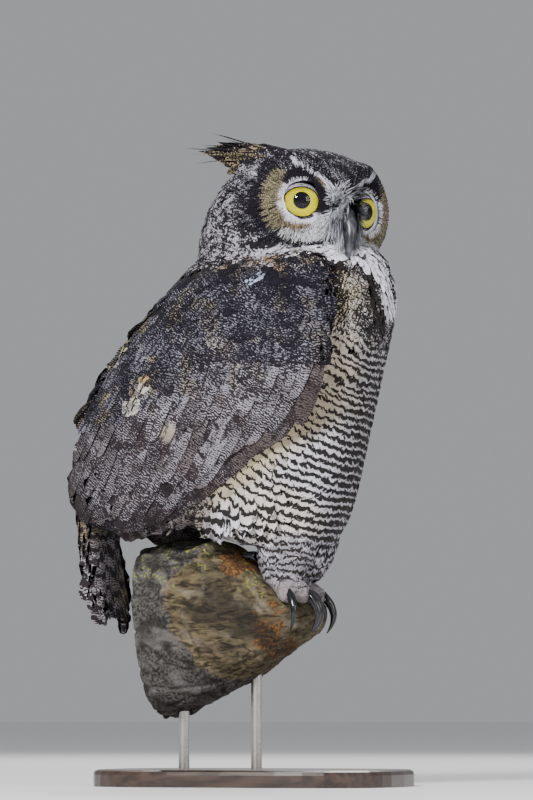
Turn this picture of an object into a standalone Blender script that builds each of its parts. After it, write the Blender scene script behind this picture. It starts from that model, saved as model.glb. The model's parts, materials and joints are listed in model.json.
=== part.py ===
"""A great horned owl on the stub of a broken limb, life size, on a plain display stand.

The bird faces +X with its left side at +Y, leans forward and looks over its right shoulder. Each
solid reaches to the tips of the plumage. Stations are in millimetres, everything else is in metres,
and the origin is the middle of the stand's underside.
"""

import math

import bmesh
import bpy
from mathutils import Matrix, Vector

# ---------------------------------------------------------------- driving dimensions
MM = 0.001
GAP = 0.0004  # clearance between neighbouring solids
FLAT = math.radians(1.5)  # faces this near to level with each other are joined
LEFT, RIGHT = 1, -1

# The head's own frame has x forward, y left and z up, and its origin is in the middle of the head.
HEAD_CENTRE = Vector((0.052, 0.0, 0.484))
HEAD_YAW = math.radians(-40)
HEAD_ROLL = math.radians(-5)
HEAD_FRONT, HEAD_BACK, HEAD_SIDE = 0.045, 0.060, 0.069
HEAD_UP, HEAD_DOWN = 0.048, 0.055
HEAD_SQUARENESS = 2.2

EYE_RADIUS = 0.0175
EYE_CENTRE = Vector((0.0206, 0.0268, -0.0022))  # the left eye's; the right eye mirrors it
EYE_SPLAY = math.radians(22)  # how far each eye looks outwards
CORNEA_RISE, CORNEA_SPREAD = 0.0022, 0.62

TUFT_ROOT = Vector((-0.002, 0.046, 0.031))
TUFT_WAY = Vector((-0.88, 0.43, 0.17))  # back, out and a little up
TUFT_LENGTH = 0.068

FOOT_X = {LEFT: 0.022, RIGHT: 0.029}  # the right foot stands a little ahead
FOOT_Y, FOOT_Z = 0.025, 0.1715
TOE_RADIUS = 0.0086
CLAW_LENGTH, CLAW_RADIUS = 0.041, 0.0043
CLAW_TURN, CLAW_DROP = math.radians(98), math.radians(25)

BASE_LENGTH, BASE_WIDTH, BASE_THICKNESS = 0.260, 0.180, 0.014
BASE_SQUARENESS, BASE_EDGE = 3.4, 0.004
ROD_RADIUS = 0.0045
ROD_X = {"back": -0.062, "front": 0.002}

# Slot: colour, roughness and metallic value.
FINISHES = {
    "plumage_back": ((0.20, 0.19, 0.20), 0.85, 0.0),
    "plumage_head": ((0.28, 0.26, 0.25), 0.85, 0.0),
    "plumage_breast": ((0.52, 0.48, 0.43), 0.85, 0.0),
    "plumage_leg": ((0.60, 0.56, 0.53), 0.85, 0.0),
    "eye": ((0.90, 0.78, 0.03), 0.08, 0.0),
    "bill": ((0.12, 0.12, 0.14), 0.35, 0.0),
    "claw": ((0.04, 0.04, 0.05), 0.25, 0.0),
    "limb": ((0.24, 0.19, 0.13), 0.80, 0.0),
    "stand_base": ((0.05, 0.035, 0.028), 0.40, 0.0),
    "stand_rod": ((0.45, 0.42, 0.38), 0.30, 1.0),
}

# ---------------------------------------------------------------- stations, in millimetres
# Throat to vent: front x and z, back x and z, half width.
TRUNK = (
    (106, 448, -34, 448, 50),
    (116, 434, -54, 434, 64),
    (122, 404, -84, 400, 76),
    (114, 364, -112, 352, 82),
    (105, 324, -128, 306, 82),
    (97, 286, -128, 268, 77),
    (89, 250, -100, 240, 68),
    (80, 222, -56, 218, 57),
    (66, 200, -8, 202, 44),
)
# The collar of feathers that the head sits in, from inside the breast to the nape: as the trunk's.
NECK = (
    (88, 412, -30, 416, 46),
    (106, 430, -46, 430, 57),
    (104, 444, -47, 446, 60),
    (62, 457, -44, 462, 58),
    (38, 472, -35, 484, 55),
    (22, 486, -21, 504, 49),
    (24, 500, -8, 520, 38),
)
# Rump to tip: under side x and z, upper side x and z, half width.
TAIL = (
    (-84, 326, -116, 338, 24),
    (-112, 292, -146, 300, 29),
    (-126, 256, -154, 260, 33),
    (-130, 220, -151, 221, 37),
    (-127, 186, -143, 186, 40),
    (-124, 158, -136, 157, 39),
    (-121, 139, -128, 138, 29),
)
# Shoulder to tip: lower edge x, y and z, upper edge x, y and z, bulge and thickness.
WING = (
    (84, -62, 437, 28, -44, 447, 6, 15),
    (92, -71, 408, -28, -45, 432, 20, 22),
    (91, -77, 372, -73, -41, 402, 30, 26),
    (87, -80, 338, -107, -36, 362, 36, 28),
    (69, -80, 307, -137, -31, 318, 37, 27),
    (37, -76, 280, -154, -29, 280, 32, 23),
    (1, -70, 253, -155, -30, 247, 24, 18),
    (-36, -61, 231, -145, -33, 222, 15, 12),
    (-76, -50, 215, -119, -38, 210, 7, 7),
)
PRIMARIES = (
    (80, -73, 324, 56, -72, 340, 2, 8),
    (50, -73, 287, 20, -68, 306, 3, 8),
    (13, -68, 254, -20, -64, 276, 3, 8),
    (-24, -59, 226, -56, -53, 250, 3, 8),
    (-64, -48, 208, -90, -43, 229, 2, 6),
    (-100, -39, 201, -112, -36, 210, 1, 4),
)
# Sawn end to broken end: top x and z, bottom x and z, half width.
LIMB = (
    (-100, 198, -84, 56, 44),
    (-78, 204, -58, 58, 50),
    (-50, 207, -32, 70, 51),
    (-22, 205, -2, 86, 49),
    (-3, 194, 20, 101, 46),
    (11, 178, 35, 112, 43),
    (26, 165, 46, 122, 42),
    (44, 156, 54, 129, 38),
    (55, 150, 58, 138, 28),
)
# Head-frame x and z, half width and half height.
BILL_UPPER = (
    (36, -6, 9.0, 9.0),
    (48, -9, 8.2, 8.4),
    (56.5, -17, 6.6, 7.2),
    (60.5, -29, 5.0, 5.6),
    (60.5, -41, 3.2, 3.8),
    (57.5, -52, 0.9, 1.0),
)
BILL_LOWER = (
    (34, -26, 6.6, 4.2),
    (44, -31, 5.6, 4.0),
    (50, -38, 3.6, 2.8),
    (52.5, -44, 1.2, 1.0),
)
# Height, x of the middle, half width and half depth.
LEG = (
    (262, 34, 24, 30),
    (240, 36, 25, 32),
    (222, 37, 26.5, 31),
    (206, 38, 27, 27.5),
    (190, 37, 22, 22),
    (178, 34, 16.5, 16.5),
)
# Share of the tuft's length, half depth and half width.
TUFT = ((-0.22, 9, 15), (0.05, 8, 16), (0.42, 6, 14), (0.76, 4, 9), (1.0, 1.4, 2.6))
# Share of the toe's reach, drop and share of its radius.
TOE = ((-0.1, 0, 1.0), (0.35, -2, 1.06), (0.7, -7, 0.96), (1.0, -13.5, 0.92), (1.12, -18, 0.5))
# How far each toe points outwards from straight ahead, in degrees, its reach, and its fall, which is
# negative for the hind toe, as that climbs the limb.
TOES = {
    "inner": (-22, 22, 1.0),
    "middle": (14, 25, 1.0),
    "outer": (54, 24, 1.0),
    "hind": (190, 12, -1.6),
}


# ---------------------------------------------------------------- helpers
def material(slot):
    """The slot's material, made when it is first asked for."""
    found = bpy.data.materials.get(slot)
    if found:
        return found
    colour, roughness, metallic = FINISHES[slot]
    made = bpy.data.materials.new(slot)
    made.use_nodes = True
    shader = made.node_tree.nodes["Principled BSDF"]
    shader.inputs["Base Color"].default_value = (*colour, 1.0)
    shader.inputs["Roughness"].default_value = roughness
    shader.inputs["Metallic"].default_value = metallic
    return made


wholes = {}  # each solid's mesh as it was before it was parted from its neighbours


def add_object(name, made, slot):
    """Turns a bmesh into a named object with its faces outwards."""
    bmesh.ops.recalc_face_normals(made, faces=made.faces)
    mesh = bpy.data.meshes.new(name)
    made.to_mesh(mesh)
    made.free()
    mesh.shade_smooth()
    mesh.materials.append(material(slot))
    solid = bpy.data.objects.new(name, mesh)
    bpy.context.scene.collection.objects.link(solid)
    wholes[name] = mesh.copy()
    return solid


def hump(distance, width):
    """A smooth bump of height 1 that fades out over the width."""
    return math.exp(-((distance / width) ** 2))


def power(value, exponent):
    return math.copysign(abs(value) ** exponent, value)


def eased(stations, steps):
    """The stations with steps - 1 more between each pair, on a Catmull-Rom curve."""
    out = []
    for i in range(len(stations) - 1):
        quad = [stations[min(max(i + k, 0), len(stations) - 1)] for k in (-1, 0, 1, 2)]
        for k in range(steps):
            t = k / steps
            weights = (
                0.5 * (-t + 2 * t**2 - t**3),
                0.5 * (2 - 5 * t**2 + 3 * t**3),
                0.5 * (t + 4 * t**2 - 3 * t**3),
                0.5 * (t**3 - t**2),
            )
            out.append(tuple(sum(w * v for w, v in zip(weights, column)) for column in zip(*quad)))
    out.append(stations[-1])
    return out


def loft(name, rings, slot):
    """A closed solid over rings of points, each bridged to the next, with a fan at each end."""
    made = bmesh.new()
    loops = []
    for points in rings:
        verts = [made.verts.new(p) for p in points]
        loops.append([made.edges.new((verts[k - 1], verts[k])) for k in range(len(verts))])
    for first, second in zip(loops, loops[1:]):
        bmesh.ops.bridge_loops(made, edges=first + second)
    for end in (loops[0], loops[-1]):
        cap = bmesh.ops.edgeloop_fill(made, edges=end)["faces"]
        bmesh.ops.poke(made, faces=cap)
    bmesh.ops.triangulate(made, faces=made.faces)
    return add_object(name, made, slot)


def oval(centre, half_a, half_b, sides, squareness=2.0):
    """Points round a superellipse that has those two half axes."""
    exponent = 2.0 / squareness
    points = []
    for k in range(sides):
        angle = math.tau * (k + 0.5) / sides
        across, along = power(math.cos(angle), exponent), power(math.sin(angle), exponent)
        points.append(centre + half_a * across + half_b * along)
    return points


def upright_rings(stations, steps, sides, squareness):
    """Ovals across the middle plane, each between two points of that plane and as wide as its station says."""
    rings = []
    for first_x, first_z, second_x, second_z, half_width in eased(stations, steps):
        first = Vector((first_x, 0, first_z)) * MM
        second = Vector((second_x, 0, second_z)) * MM
        side = Vector((0, half_width, 0)) * MM
        rings.append(oval((first + second) / 2, (first - second) / 2, side, sides, squareness))
    return rings


def tube_rings(stations, steps, sides, overhead=Vector((0, 0, 1))):
    """Ovals square to a path. A station is x, y, z, half width and half height, in metres."""
    flat = eased(stations, steps)
    path = [Vector(s[:3]) for s in flat]
    rings = []
    for k, values in enumerate(flat):
        ahead = path[min(k + 1, len(path) - 1)] - path[max(k - 1, 0)]
        across = ahead.cross(overhead).normalized()
        rise = across.cross(ahead).normalized()
        rings.append(oval(path[k], across * values[3], rise * values[4], sides))
    return rings


def wing_rings(stations, steps, sides):
    """Lens-shaped rings that wrap round the right flank and bulge outwards."""
    rings = []
    outwards = Vector((0, -1, 0))
    skin = 0.0012  # half the thickness at the very edges
    for values in eased(stations, steps):
        low, high = Vector(values[:3]) * MM, Vector(values[3:6]) * MM
        bulge, thickness = values[6] * MM, values[7] * MM
        chord = (high - low).normalized()
        out = (outwards - chord * chord.dot(outwards)).normalized()
        shares = [k / (sides // 2) for k in range(sides // 2 + 1)]
        outer, inner = [], []
        for share in shares:
            swell = math.sin(math.pi * share) ** 0.75
            middle = low.lerp(high, share)
            outer.append(middle + out * (bulge * swell + skin))
            inner.append(middle + out * ((bulge - thickness) * swell - skin))
        rings.append(outer + inner[::-1])
    return rings


def mirrored(name, source):
    """The left-hand copy of a right-hand object, as it was before it was parted."""
    made = bmesh.new()
    made.from_mesh(wholes[source.name])
    bmesh.ops.scale(made, vec=(1, -1, 1), verts=made.verts)
    bmesh.ops.reverse_faces(made, faces=made.faces)
    return add_object(name, made, source.data.materials[0].name)


# ---------------------------------------------------------------- parting one solid from another
def combine(target, other, operation):
    """Takes the other object out of the target or joins it on, and removes the other object."""
    boolean = target.modifiers.new(operation.lower(), "BOOLEAN")
    boolean.operation = operation
    boolean.solver = "EXACT"
    boolean.object = other
    bpy.context.view_layer.update()
    result = target.evaluated_get(bpy.context.evaluated_depsgraph_get())
    made = bmesh.new()
    made.from_mesh(result.to_mesh())
    result.to_mesh_clear()
    target.modifiers.remove(boolean)
    bpy.data.objects.remove(other)
    bmesh.ops.triangulate(made, faces=made.faces)
    keep_main_piece(made)
    made = tidied(made)
    made.to_mesh(target.data)
    made.free()


def tidied(made):
    """Joins near points and level faces, leaving out each step that would open the mesh."""
    steps = (
        lambda trial: bmesh.ops.remove_doubles(trial, verts=trial.verts, dist=GAP / 8),
        lambda trial: bmesh.ops.dissolve_degenerate(trial, dist=GAP / 8, edges=trial.edges),
        lambda trial: bmesh.ops.dissolve_limit(
            trial, angle_limit=FLAT, verts=trial.verts, edges=trial.edges
        ),
    )
    for step in steps:
        trial = made.copy()
        step(trial)
        bmesh.ops.triangulate(trial, faces=trial.faces)
        closed = all(len(edge.link_faces) == 2 for edge in trial.edges)
        (made if closed else trial).free()
        made = trial if closed else made
    return made


def keep_main_piece(made):
    """Deletes every loose island but the largest."""
    left, islands = set(made.verts), []
    while left:
        island, waiting = set(), [next(iter(left))]
        while waiting:
            vert = waiting.pop()
            if vert not in island:
                island.add(vert)
                waiting.extend(edge.other_vert(vert) for edge in vert.link_edges)
        faces = {face for vert in island for face in vert.link_faces}
        islands.append((sum(face.calc_area() for face in faces), list(island)))
        left -= island
    islands.sort(key=lambda found: found[0])
    for _, island in islands[:-1]:
        bmesh.ops.delete(made, geom=island, context="VERTS")


def grown(source):
    """A cutter: the object as it was before it was parted, with its surface moved out by the gap."""
    made = bmesh.new()
    made.from_mesh(wholes[source.name])
    made.normal_update()
    for vert in made.verts:
        vert.co += vert.normal * GAP * vert.calc_shell_factor()
    return add_object("cutter", made, source.data.materials[0].name)


def part(target, *neighbours):
    """Takes each neighbour, grown by the gap, out of the target."""
    for neighbour in neighbours:
        combine(target, grown(neighbour), "DIFFERENCE")
    return target


def united(name, solids):
    """One solid made of several that overlap."""
    first, *others = solids
    for other in others:
        combine(first, other, "UNION")
    first.name = name
    wholes[name] = first.data.copy()
    return first


# ---------------------------------------------------------------- head
def head_matrix():
    turned = Matrix.Rotation(HEAD_YAW, 4, "Z") @ Matrix.Rotation(HEAD_ROLL, 4, "X")
    return Matrix.Translation(HEAD_CENTRE) @ turned


def head_radius(way):
    """How far the head's surface is from its middle along that unit vector of its own frame."""
    depth = HEAD_FRONT if way.x > 0 else HEAD_BACK
    height = HEAD_UP if way.z > 0 else HEAD_DOWN
    shares = (way.x / depth, way.y / HEAD_SIDE, way.z / height)
    radius = sum(abs(s) ** HEAD_SQUARENESS for s in shares) ** (-1 / HEAD_SQUARENESS)
    facing = max(way.x, 0.0)
    for side in (LEFT, RIGHT):
        disc_middle = Vector((0.80, side * 0.59, 0.02)).normalized()
        eye_middle = Vector((0.74, side * 0.67, 0.01)).normalized()
        apart = way.angle(disc_middle)
        radius -= 0.0060 * hump(apart, 0.42)  # the dished facial disc
        radius += 0.0034 * hump(apart - 0.74, 0.13) * facing  # the ruff round it
        radius -= 0.0085 * hump(way.angle(eye_middle), 0.27)  # the eye's socket
    brow = 0.30 + 0.45 * abs(way.y)
    radius += 0.0060 * hump(way.z - brow, 0.12) * math.sqrt(facing)  # the overhanging brows
    radius += 0.0110 * hump(way.y, 0.17) * hump(way.z + 0.25, 0.50) * facing  # the bridge
    radius += 0.0040 * hump(way.y, 0.55) * hump(way.z + 0.80, 0.25)  # the soft chin
    return radius


def make_head():
    made = bmesh.new()
    bmesh.ops.create_uvsphere(made, u_segments=32, v_segments=18, radius=1.0)
    for vert in made.verts:
        way = vert.co.normalized()
        vert.co = way * head_radius(way)
    bmesh.ops.triangulate(made, faces=made.faces)
    bmesh.ops.transform(made, matrix=head_matrix(), verts=made.verts)
    return add_object("head", made, "plumage_head")


def make_eye(name, side):
    """A ball whose cornea stands proud of it, turned to look outwards."""
    made = bmesh.new()
    bmesh.ops.create_uvsphere(made, u_segments=16, v_segments=10, radius=EYE_RADIUS)
    for vert in made.verts:
        off_axis = vert.co.angle(Vector((0, 0, 1)))
        vert.co += vert.co.normalized() * CORNEA_RISE * hump(off_axis, CORNEA_SPREAD)
    gaze = Vector((math.cos(EYE_SPLAY), side * math.sin(EYE_SPLAY), 0))
    place = Matrix.Translation((EYE_CENTRE.x, side * EYE_CENTRE.y, EYE_CENTRE.z))
    turned = gaze.to_track_quat("Z", "Y").to_matrix().to_4x4()
    bmesh.ops.triangulate(made, faces=made.faces)
    bmesh.ops.transform(made, matrix=head_matrix() @ place @ turned, verts=made.verts)
    return add_object(name, made, "eye")


def make_bill_half(name, stations):
    placed = [(x * MM, 0, z * MM, width * MM, height * MM) for x, z, width, height in stations]
    rings = tube_rings(placed, 2, 10, overhead=Vector((1, 0, 1)))
    return loft(name, [[head_matrix() @ p for p in ring] for ring in rings], "bill")


def make_tuft(name, side):
    """A horn of long feathers, broad at its root and laid back."""
    root = Vector((TUFT_ROOT.x, side * TUFT_ROOT.y, TUFT_ROOT.z))
    way = Vector((TUFT_WAY.x, side * TUFT_WAY.y, TUFT_WAY.z)).normalized()
    stations = []
    for share, half_depth, half_width in TUFT:
        place = head_matrix() @ (root + way * TUFT_LENGTH * share)
        stations.append((*place, half_depth * MM, half_width * MM))
    return loft(name, tube_rings(stations, 1, 9), "plumage_head")


# ---------------------------------------------------------------- legs, toes and claws
def make_leg(name, side):
    stations = []
    for height, x, half_width, half_depth in LEG:
        place = (x * MM, side * FOOT_Y, height * MM)
        stations.append((*place, half_width * MM, half_depth * MM))
    return loft(name, tube_rings(stations, 1, 14, overhead=Vector((1, 0, 0))), "plumage_leg")


def toe_axis(side, degrees):
    """The foot's middle, and the way that a toe with this bearing points."""
    angle = side * math.radians(degrees)
    foot = Vector((FOOT_X[side], side * FOOT_Y, FOOT_Z))
    return foot, Vector((math.cos(angle), math.sin(angle), 0))


def make_toe(side, degrees, reach, fall):
    foot, ahead = toe_axis(side, degrees)
    stations = []
    for share, drop, thickness in TOE:
        place = foot + (ahead * reach * share + Vector((0, 0, drop * fall))) * MM
        stations.append((*place, TOE_RADIUS * thickness, TOE_RADIUS * thickness))
    return loft("toe", tube_rings(stations, 1, 8), "plumage_leg")


def make_claw(name, side, degrees, reach, fall):
    """A tapered hook that leaves the toe's end forwards and down, and curls back under."""
    foot, ahead = toe_axis(side, degrees)
    root = foot + (ahead * reach * 0.90 + Vector((0, 0, -9 * fall))) * MM
    first = CLAW_DROP * fall
    bend = CLAW_LENGTH / CLAW_TURN
    steps = 6
    stations = []
    for k in range(steps + 1):
        share = k / steps
        heading = first + CLAW_TURN * share
        out = bend * (math.sin(heading) - math.sin(first))
        down = bend * (math.cos(first) - math.cos(heading))
        radius = CLAW_RADIUS * (1 - share) ** 0.7 + 0.0004
        place = root + ahead * out - Vector((0, 0, down))
        stations.append((*place, radius * 0.85, radius))
    across = ahead.cross(Vector((0, 0, 1)))
    rings = []
    for k, values in enumerate(stations):
        heading = first + CLAW_TURN * k / steps
        rise = ahead * math.sin(heading) + Vector((0, 0, math.cos(heading)))
        rings.append(oval(Vector(values[:3]), across * values[3], rise * values[4], 6))
    return loft(name, rings, "claw")


# ---------------------------------------------------------------- limb and stand
def make_limb():
    """The stub of limb, sawn square behind, swollen in the middle and broken off in front."""
    rings = []
    for index, ring in enumerate(upright_rings(LIMB, 2, 18, 2.3)):
        centre = sum(ring, Vector()) / len(ring)
        lumpy = []
        for k, point in enumerate(ring):
            angle = math.tau * k / len(ring)
            lump = 0.05 * math.sin(3 * angle + 0.9 + 0.35 * index) + 0.03 * math.sin(7 * angle + index)
            calm = 0.3 if point.z > centre.z else 1.0  # even on top, where the feet stand
            lumpy.append(centre + (point - centre) * (1 + lump * calm))
        rings.append(lumpy)
    return loft("perch", rings, "limb")


def make_base():
    made = bmesh.new()
    bmesh.ops.create_circle(made, cap_ends=True, segments=36, radius=1.0)
    exponent = 2 / BASE_SQUARENESS
    for vert in made.verts:
        x, y = power(vert.co.x, exponent), power(vert.co.y, exponent)
        vert.co = Vector((x * BASE_LENGTH / 2, y * BASE_WIDTH / 2, 0))
    raised = bmesh.ops.extrude_face_region(made, geom=made.faces[:])["geom"]
    top = {item for item in raised if isinstance(item, bmesh.types.BMVert)}
    bmesh.ops.translate(made, vec=(0, 0, BASE_THICKNESS), verts=list(top))
    rim = [edge for edge in made.edges if top.issuperset(edge.verts)]
    bmesh.ops.bevel(made, geom=rim, offset=BASE_EDGE, segments=2, profile=0.5, affect="EDGES")
    return add_object("stand_base", made, "stand_base")


def make_rod(name, x):
    heights = (BASE_THICKNESS + GAP, 0.06, 0.13)
    stations = [(x, 0, z, ROD_RADIUS, ROD_RADIUS) for z in heights]
    return loft(name, tube_rings(stations, 1, 14, overhead=Vector((1, 0, 0))), "stand_rod")


# ---------------------------------------------------------------- the whole
def main():
    for old in list(bpy.data.objects):
        bpy.data.objects.remove(old)

    perch = make_limb()
    head = make_head()
    eyes = [make_eye("eye_left", LEFT), make_eye("eye_right", RIGHT)]
    bill_upper = make_bill_half("bill_upper", BILL_UPPER)
    bill_lower = part(make_bill_half("bill_lower", BILL_LOWER), bill_upper)
    part(head, *eyes, bill_upper, bill_lower)
    tufts = [make_tuft("ear_tuft_left", LEFT), make_tuft("ear_tuft_right", RIGHT)]
    for tuft in tufts:
        part(tuft, head)

    neck = loft("neck", upright_rings(NECK, 1, 18, 2.1), "plumage_head")
    part(neck, head, bill_upper, bill_lower, *tufts)
    wing = loft("wing_right", wing_rings(WING, 2, 12), "plumage_back")
    wings = [wing, mirrored("wing_left", wing)]
    for each in wings:
        part(each, neck, head, perch)
    trunk = loft("trunk", upright_rings(TRUNK, 2, 20, 2.2), "plumage_breast")
    part(trunk, neck, head, bill_upper, bill_lower, *wings, perch)
    primaries = loft("primaries_right", wing_rings(PRIMARIES, 1, 8), "plumage_back")
    for each, over in zip((primaries, mirrored("primaries_left", primaries)), tuple(wings)):
        wings.append(part(each, trunk, over, perch))
    tail = loft("tail", upright_rings(TAIL, 1, 14, 2.8), "plumage_back")
    part(tail, trunk, *wings, perch)

    for side, side_name in ((LEFT, "left"), (RIGHT, "right")):
        leg = part(make_leg(f"leg_{side_name}", side), trunk, perch, *wings)
        foot = united(f"foot_{side_name}", [make_toe(side, *toe) for toe in TOES.values()])
        part(foot, leg, perch)
        for toe_name, toe in TOES.items():
            part(make_claw(f"claw_{side_name}_{toe_name}", side, *toe), foot, leg, perch)
    part(bpy.data.objects["leg_right"], bpy.data.objects["leg_left"])

    make_base()
    for end, x in ROD_X.items():
        part(make_rod(f"stand_rod_{end}", x), perch)


main()
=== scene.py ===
"""The great horned owl dressed: skin, feathers, eyes, bill and claws, on its limb and stand."""

import json
import math

import bmesh
import bpy
import numpy as np
from mathutils import Matrix, Vector, noise
from mathutils.bvhtree import BVHTree
from mathutils.kdtree import KDTree

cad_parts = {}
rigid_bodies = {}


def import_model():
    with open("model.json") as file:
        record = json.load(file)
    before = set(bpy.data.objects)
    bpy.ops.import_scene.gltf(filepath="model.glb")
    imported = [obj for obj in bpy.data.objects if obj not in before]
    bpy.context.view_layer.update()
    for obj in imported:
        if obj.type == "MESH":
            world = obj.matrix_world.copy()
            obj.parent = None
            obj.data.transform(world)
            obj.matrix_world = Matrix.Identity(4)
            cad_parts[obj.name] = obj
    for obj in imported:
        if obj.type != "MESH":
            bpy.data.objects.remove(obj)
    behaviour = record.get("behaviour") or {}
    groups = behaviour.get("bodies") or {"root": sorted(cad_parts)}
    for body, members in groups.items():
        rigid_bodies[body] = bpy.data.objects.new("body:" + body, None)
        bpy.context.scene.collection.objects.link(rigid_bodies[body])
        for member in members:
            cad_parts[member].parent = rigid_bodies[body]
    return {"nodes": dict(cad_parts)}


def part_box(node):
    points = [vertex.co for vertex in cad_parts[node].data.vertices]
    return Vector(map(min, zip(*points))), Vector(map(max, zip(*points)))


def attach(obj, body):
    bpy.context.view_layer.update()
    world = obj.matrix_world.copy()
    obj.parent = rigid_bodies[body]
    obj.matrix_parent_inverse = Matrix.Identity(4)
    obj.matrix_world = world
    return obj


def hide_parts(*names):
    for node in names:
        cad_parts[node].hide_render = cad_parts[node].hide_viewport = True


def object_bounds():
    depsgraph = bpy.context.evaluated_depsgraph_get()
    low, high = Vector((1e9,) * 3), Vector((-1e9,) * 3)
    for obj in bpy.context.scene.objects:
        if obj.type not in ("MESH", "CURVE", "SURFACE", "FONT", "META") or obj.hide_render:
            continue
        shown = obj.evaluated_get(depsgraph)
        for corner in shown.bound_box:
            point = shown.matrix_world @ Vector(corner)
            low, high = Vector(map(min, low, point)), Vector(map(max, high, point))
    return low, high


for old in list(bpy.data.objects):
    bpy.data.objects.remove(old)
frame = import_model()
cad_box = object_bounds()
MM = 0.001
LEFT, RIGHT = 1, -1
SIDES = {"left": LEFT, "right": RIGHT}

# ---------------------------------------------------------------- camera
# A long lens low down on the owl's right, a little ahead of it and looking slightly up, so that the
# back, the wing and the turned face show together.
CAMERA_TURN, CAMERA_RISE = math.radians(18), math.radians(-4.5)
CAMERA_FAR, FRAME_HEIGHT, SENSOR = 3.4, 0.672, 24.0
AIM = Vector((0.0108, 0, 0.6 * cad_box[1].z))

lens = bpy.data.cameras.new("long_lens")
lens.sensor_fit = "VERTICAL"
lens.sensor_height = SENSOR
lens.lens = SENSOR * CAMERA_FAR / FRAME_HEIGHT
camera = bpy.data.objects.new("camera", lens)
bpy.context.scene.collection.objects.link(camera)
towards = Vector((
    math.sin(CAMERA_TURN) * math.cos(CAMERA_RISE),
    -math.cos(CAMERA_TURN) * math.cos(CAMERA_RISE),
    math.sin(CAMERA_RISE),
))
camera.location = AIM + towards * CAMERA_FAR
camera.rotation_euler = towards.to_track_quat("Z", "Y").to_euler()
bpy.context.scene.camera = camera

# ---------------------------------------------------------------- skin
# One hide over all the flesh, under the plumage by the coat's depth: the solids reach the feathers'
# tips, so they are merged into one body and drawn in, least on the toes and face.
COAT_DEPTH = {  # millimetres of plumage over each solid of flesh
    "head": 3.2,
    "neck": 6.0,
    "ear_tuft_left": 3.5,
    "ear_tuft_right": 3.5,
    "trunk": 7.0,
    "wing_left": 4.5,
    "wing_right": 4.5,
    "primaries_left": 2.0,
    "primaries_right": 2.0,
    "tail": 3.0,
    "leg_left": 4.0,
    "leg_right": 4.0,
    "foot_left": 1.3,
    "foot_right": 1.3,
}
VOXEL, OVERLAP = 0.0025, 0.0005
THIN_SHARE = 0.38  # of a thin solid's thickness, at most, that the plumage takes up
THICK = 0.05  # a place thicker than this is never thin
SHAPE_ROUNDS, STEP_ROUNDS, DEPTH_ROUNDS = 3, 8, 4  # of evening, for the shape and for the coat's depth


def welded(node, grown=0.0):
    """A solid's mesh with its loose triangles merged, and its surface moved out by that much."""
    made = bmesh.new()
    made.from_mesh(frame["nodes"][node].data)
    bmesh.ops.remove_doubles(made, verts=made.verts, dist=MM / 100)
    made.normal_update()
    for vert in made.verts:
        vert.co += vert.normal * grown
    return made


def as_object(name, made, material=None):
    """A bmesh turned into a smooth, named object at the origin."""
    mesh = bpy.data.meshes.new(name)
    made.to_mesh(mesh)
    made.free()
    mesh.shade_smooth()
    if material:
        mesh.materials.append(material)
    thing = bpy.data.objects.new(name, mesh)
    bpy.context.scene.collection.objects.link(thing)
    return thing


def settled(thing):
    """Applies the object's modifiers to its mesh."""
    graph = bpy.context.evaluated_depsgraph_get()
    mesh = bpy.data.meshes.new_from_object(thing.evaluated_get(graph))
    thing.modifiers.clear()
    thing.data = mesh
    return thing


def coordinates(mesh):
    flat = np.empty(len(mesh.vertices) * 3, np.float32)
    mesh.vertices.foreach_get("co", flat)
    return flat.reshape(-1, 3).astype(float)


def normals_of(mesh):
    return np.array([vert.normal[:] for vert in mesh.vertices])


def edges_of(mesh):
    pairs = np.empty(len(mesh.edges) * 2, np.int32)
    mesh.edges.foreach_get("vertices", pairs)
    return pairs.reshape(-1, 2)


def move_points(mesh, points):
    mesh.vertices.foreach_set("co", points.astype(np.float32).ravel())
    mesh.update()


def add_vectors(mesh, name, values):
    """A vector at each point of the mesh, for its material to read by that name."""
    layer = mesh.attributes.new(name, "FLOAT_VECTOR", "POINT")
    layer.data.foreach_set("vector", values.astype(np.float32).ravel())


def evened(values, edges, rounds, share=0.5):
    """Values at a mesh's points, each drawn towards its neighbours' mean."""
    values = values.astype(float).copy()
    count = np.bincount(edges.ravel(), minlength=len(values)).astype(float)
    columns = values.reshape(len(values), -1)
    for _ in range(rounds):
        for k in range(columns.shape[1]):
            total = np.bincount(edges[:, 0], columns[edges[:, 1], k], len(values))
            total += np.bincount(edges[:, 1], columns[edges[:, 0], k], len(values))
            columns[:, k] += share * (total / count - columns[:, k])
    return columns.reshape(values.shape)


body = bmesh.new()
owner_names, owner_tris, owner = list(COAT_DEPTH), [], []
for number, node in enumerate(owner_names):
    solid = welded(node, OVERLAP)
    bmesh.ops.triangulate(solid, faces=solid.faces)
    corners = np.array([[v.co[:] for v in face.verts] for face in solid.faces])
    owner_tris.append(corners)
    owner += [number] * len(corners)
    loose = bpy.data.meshes.new("loose")
    solid.to_mesh(loose)
    solid.free()
    body.from_mesh(loose)
    bpy.data.meshes.remove(loose)
skin = as_object("skin", body)
remesh = skin.modifiers.new("one_hide", "REMESH")
remesh.mode = "VOXEL"
remesh.voxel_size = VOXEL
settled(skin)

skin_edges = edges_of(skin.data)
outer_points = evened(coordinates(skin.data), skin_edges, SHAPE_ROUNDS)
move_points(skin.data, outer_points)
outer_faces = [tuple(face.vertices) for face in skin.data.polygons]
outer_normals = evened(normals_of(skin.data), skin_edges, SHAPE_ROUNDS)
outer_normals /= np.linalg.norm(outer_normals, axis=1, keepdims=True)
outer = BVHTree.FromPolygons(outer_points.tolist(), outer_faces)
face_out = np.array([outer_normals[list(face)].mean(0) for face in outer_faces])
face_out /= np.linalg.norm(face_out, axis=1, keepdims=True)

all_tris = np.concatenate(owner_tris)
owners = BVHTree.FromPolygons(
    all_tris.reshape(-1, 3).tolist(), np.arange(len(all_tris) * 3).reshape(-1, 3).tolist()
)


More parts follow.
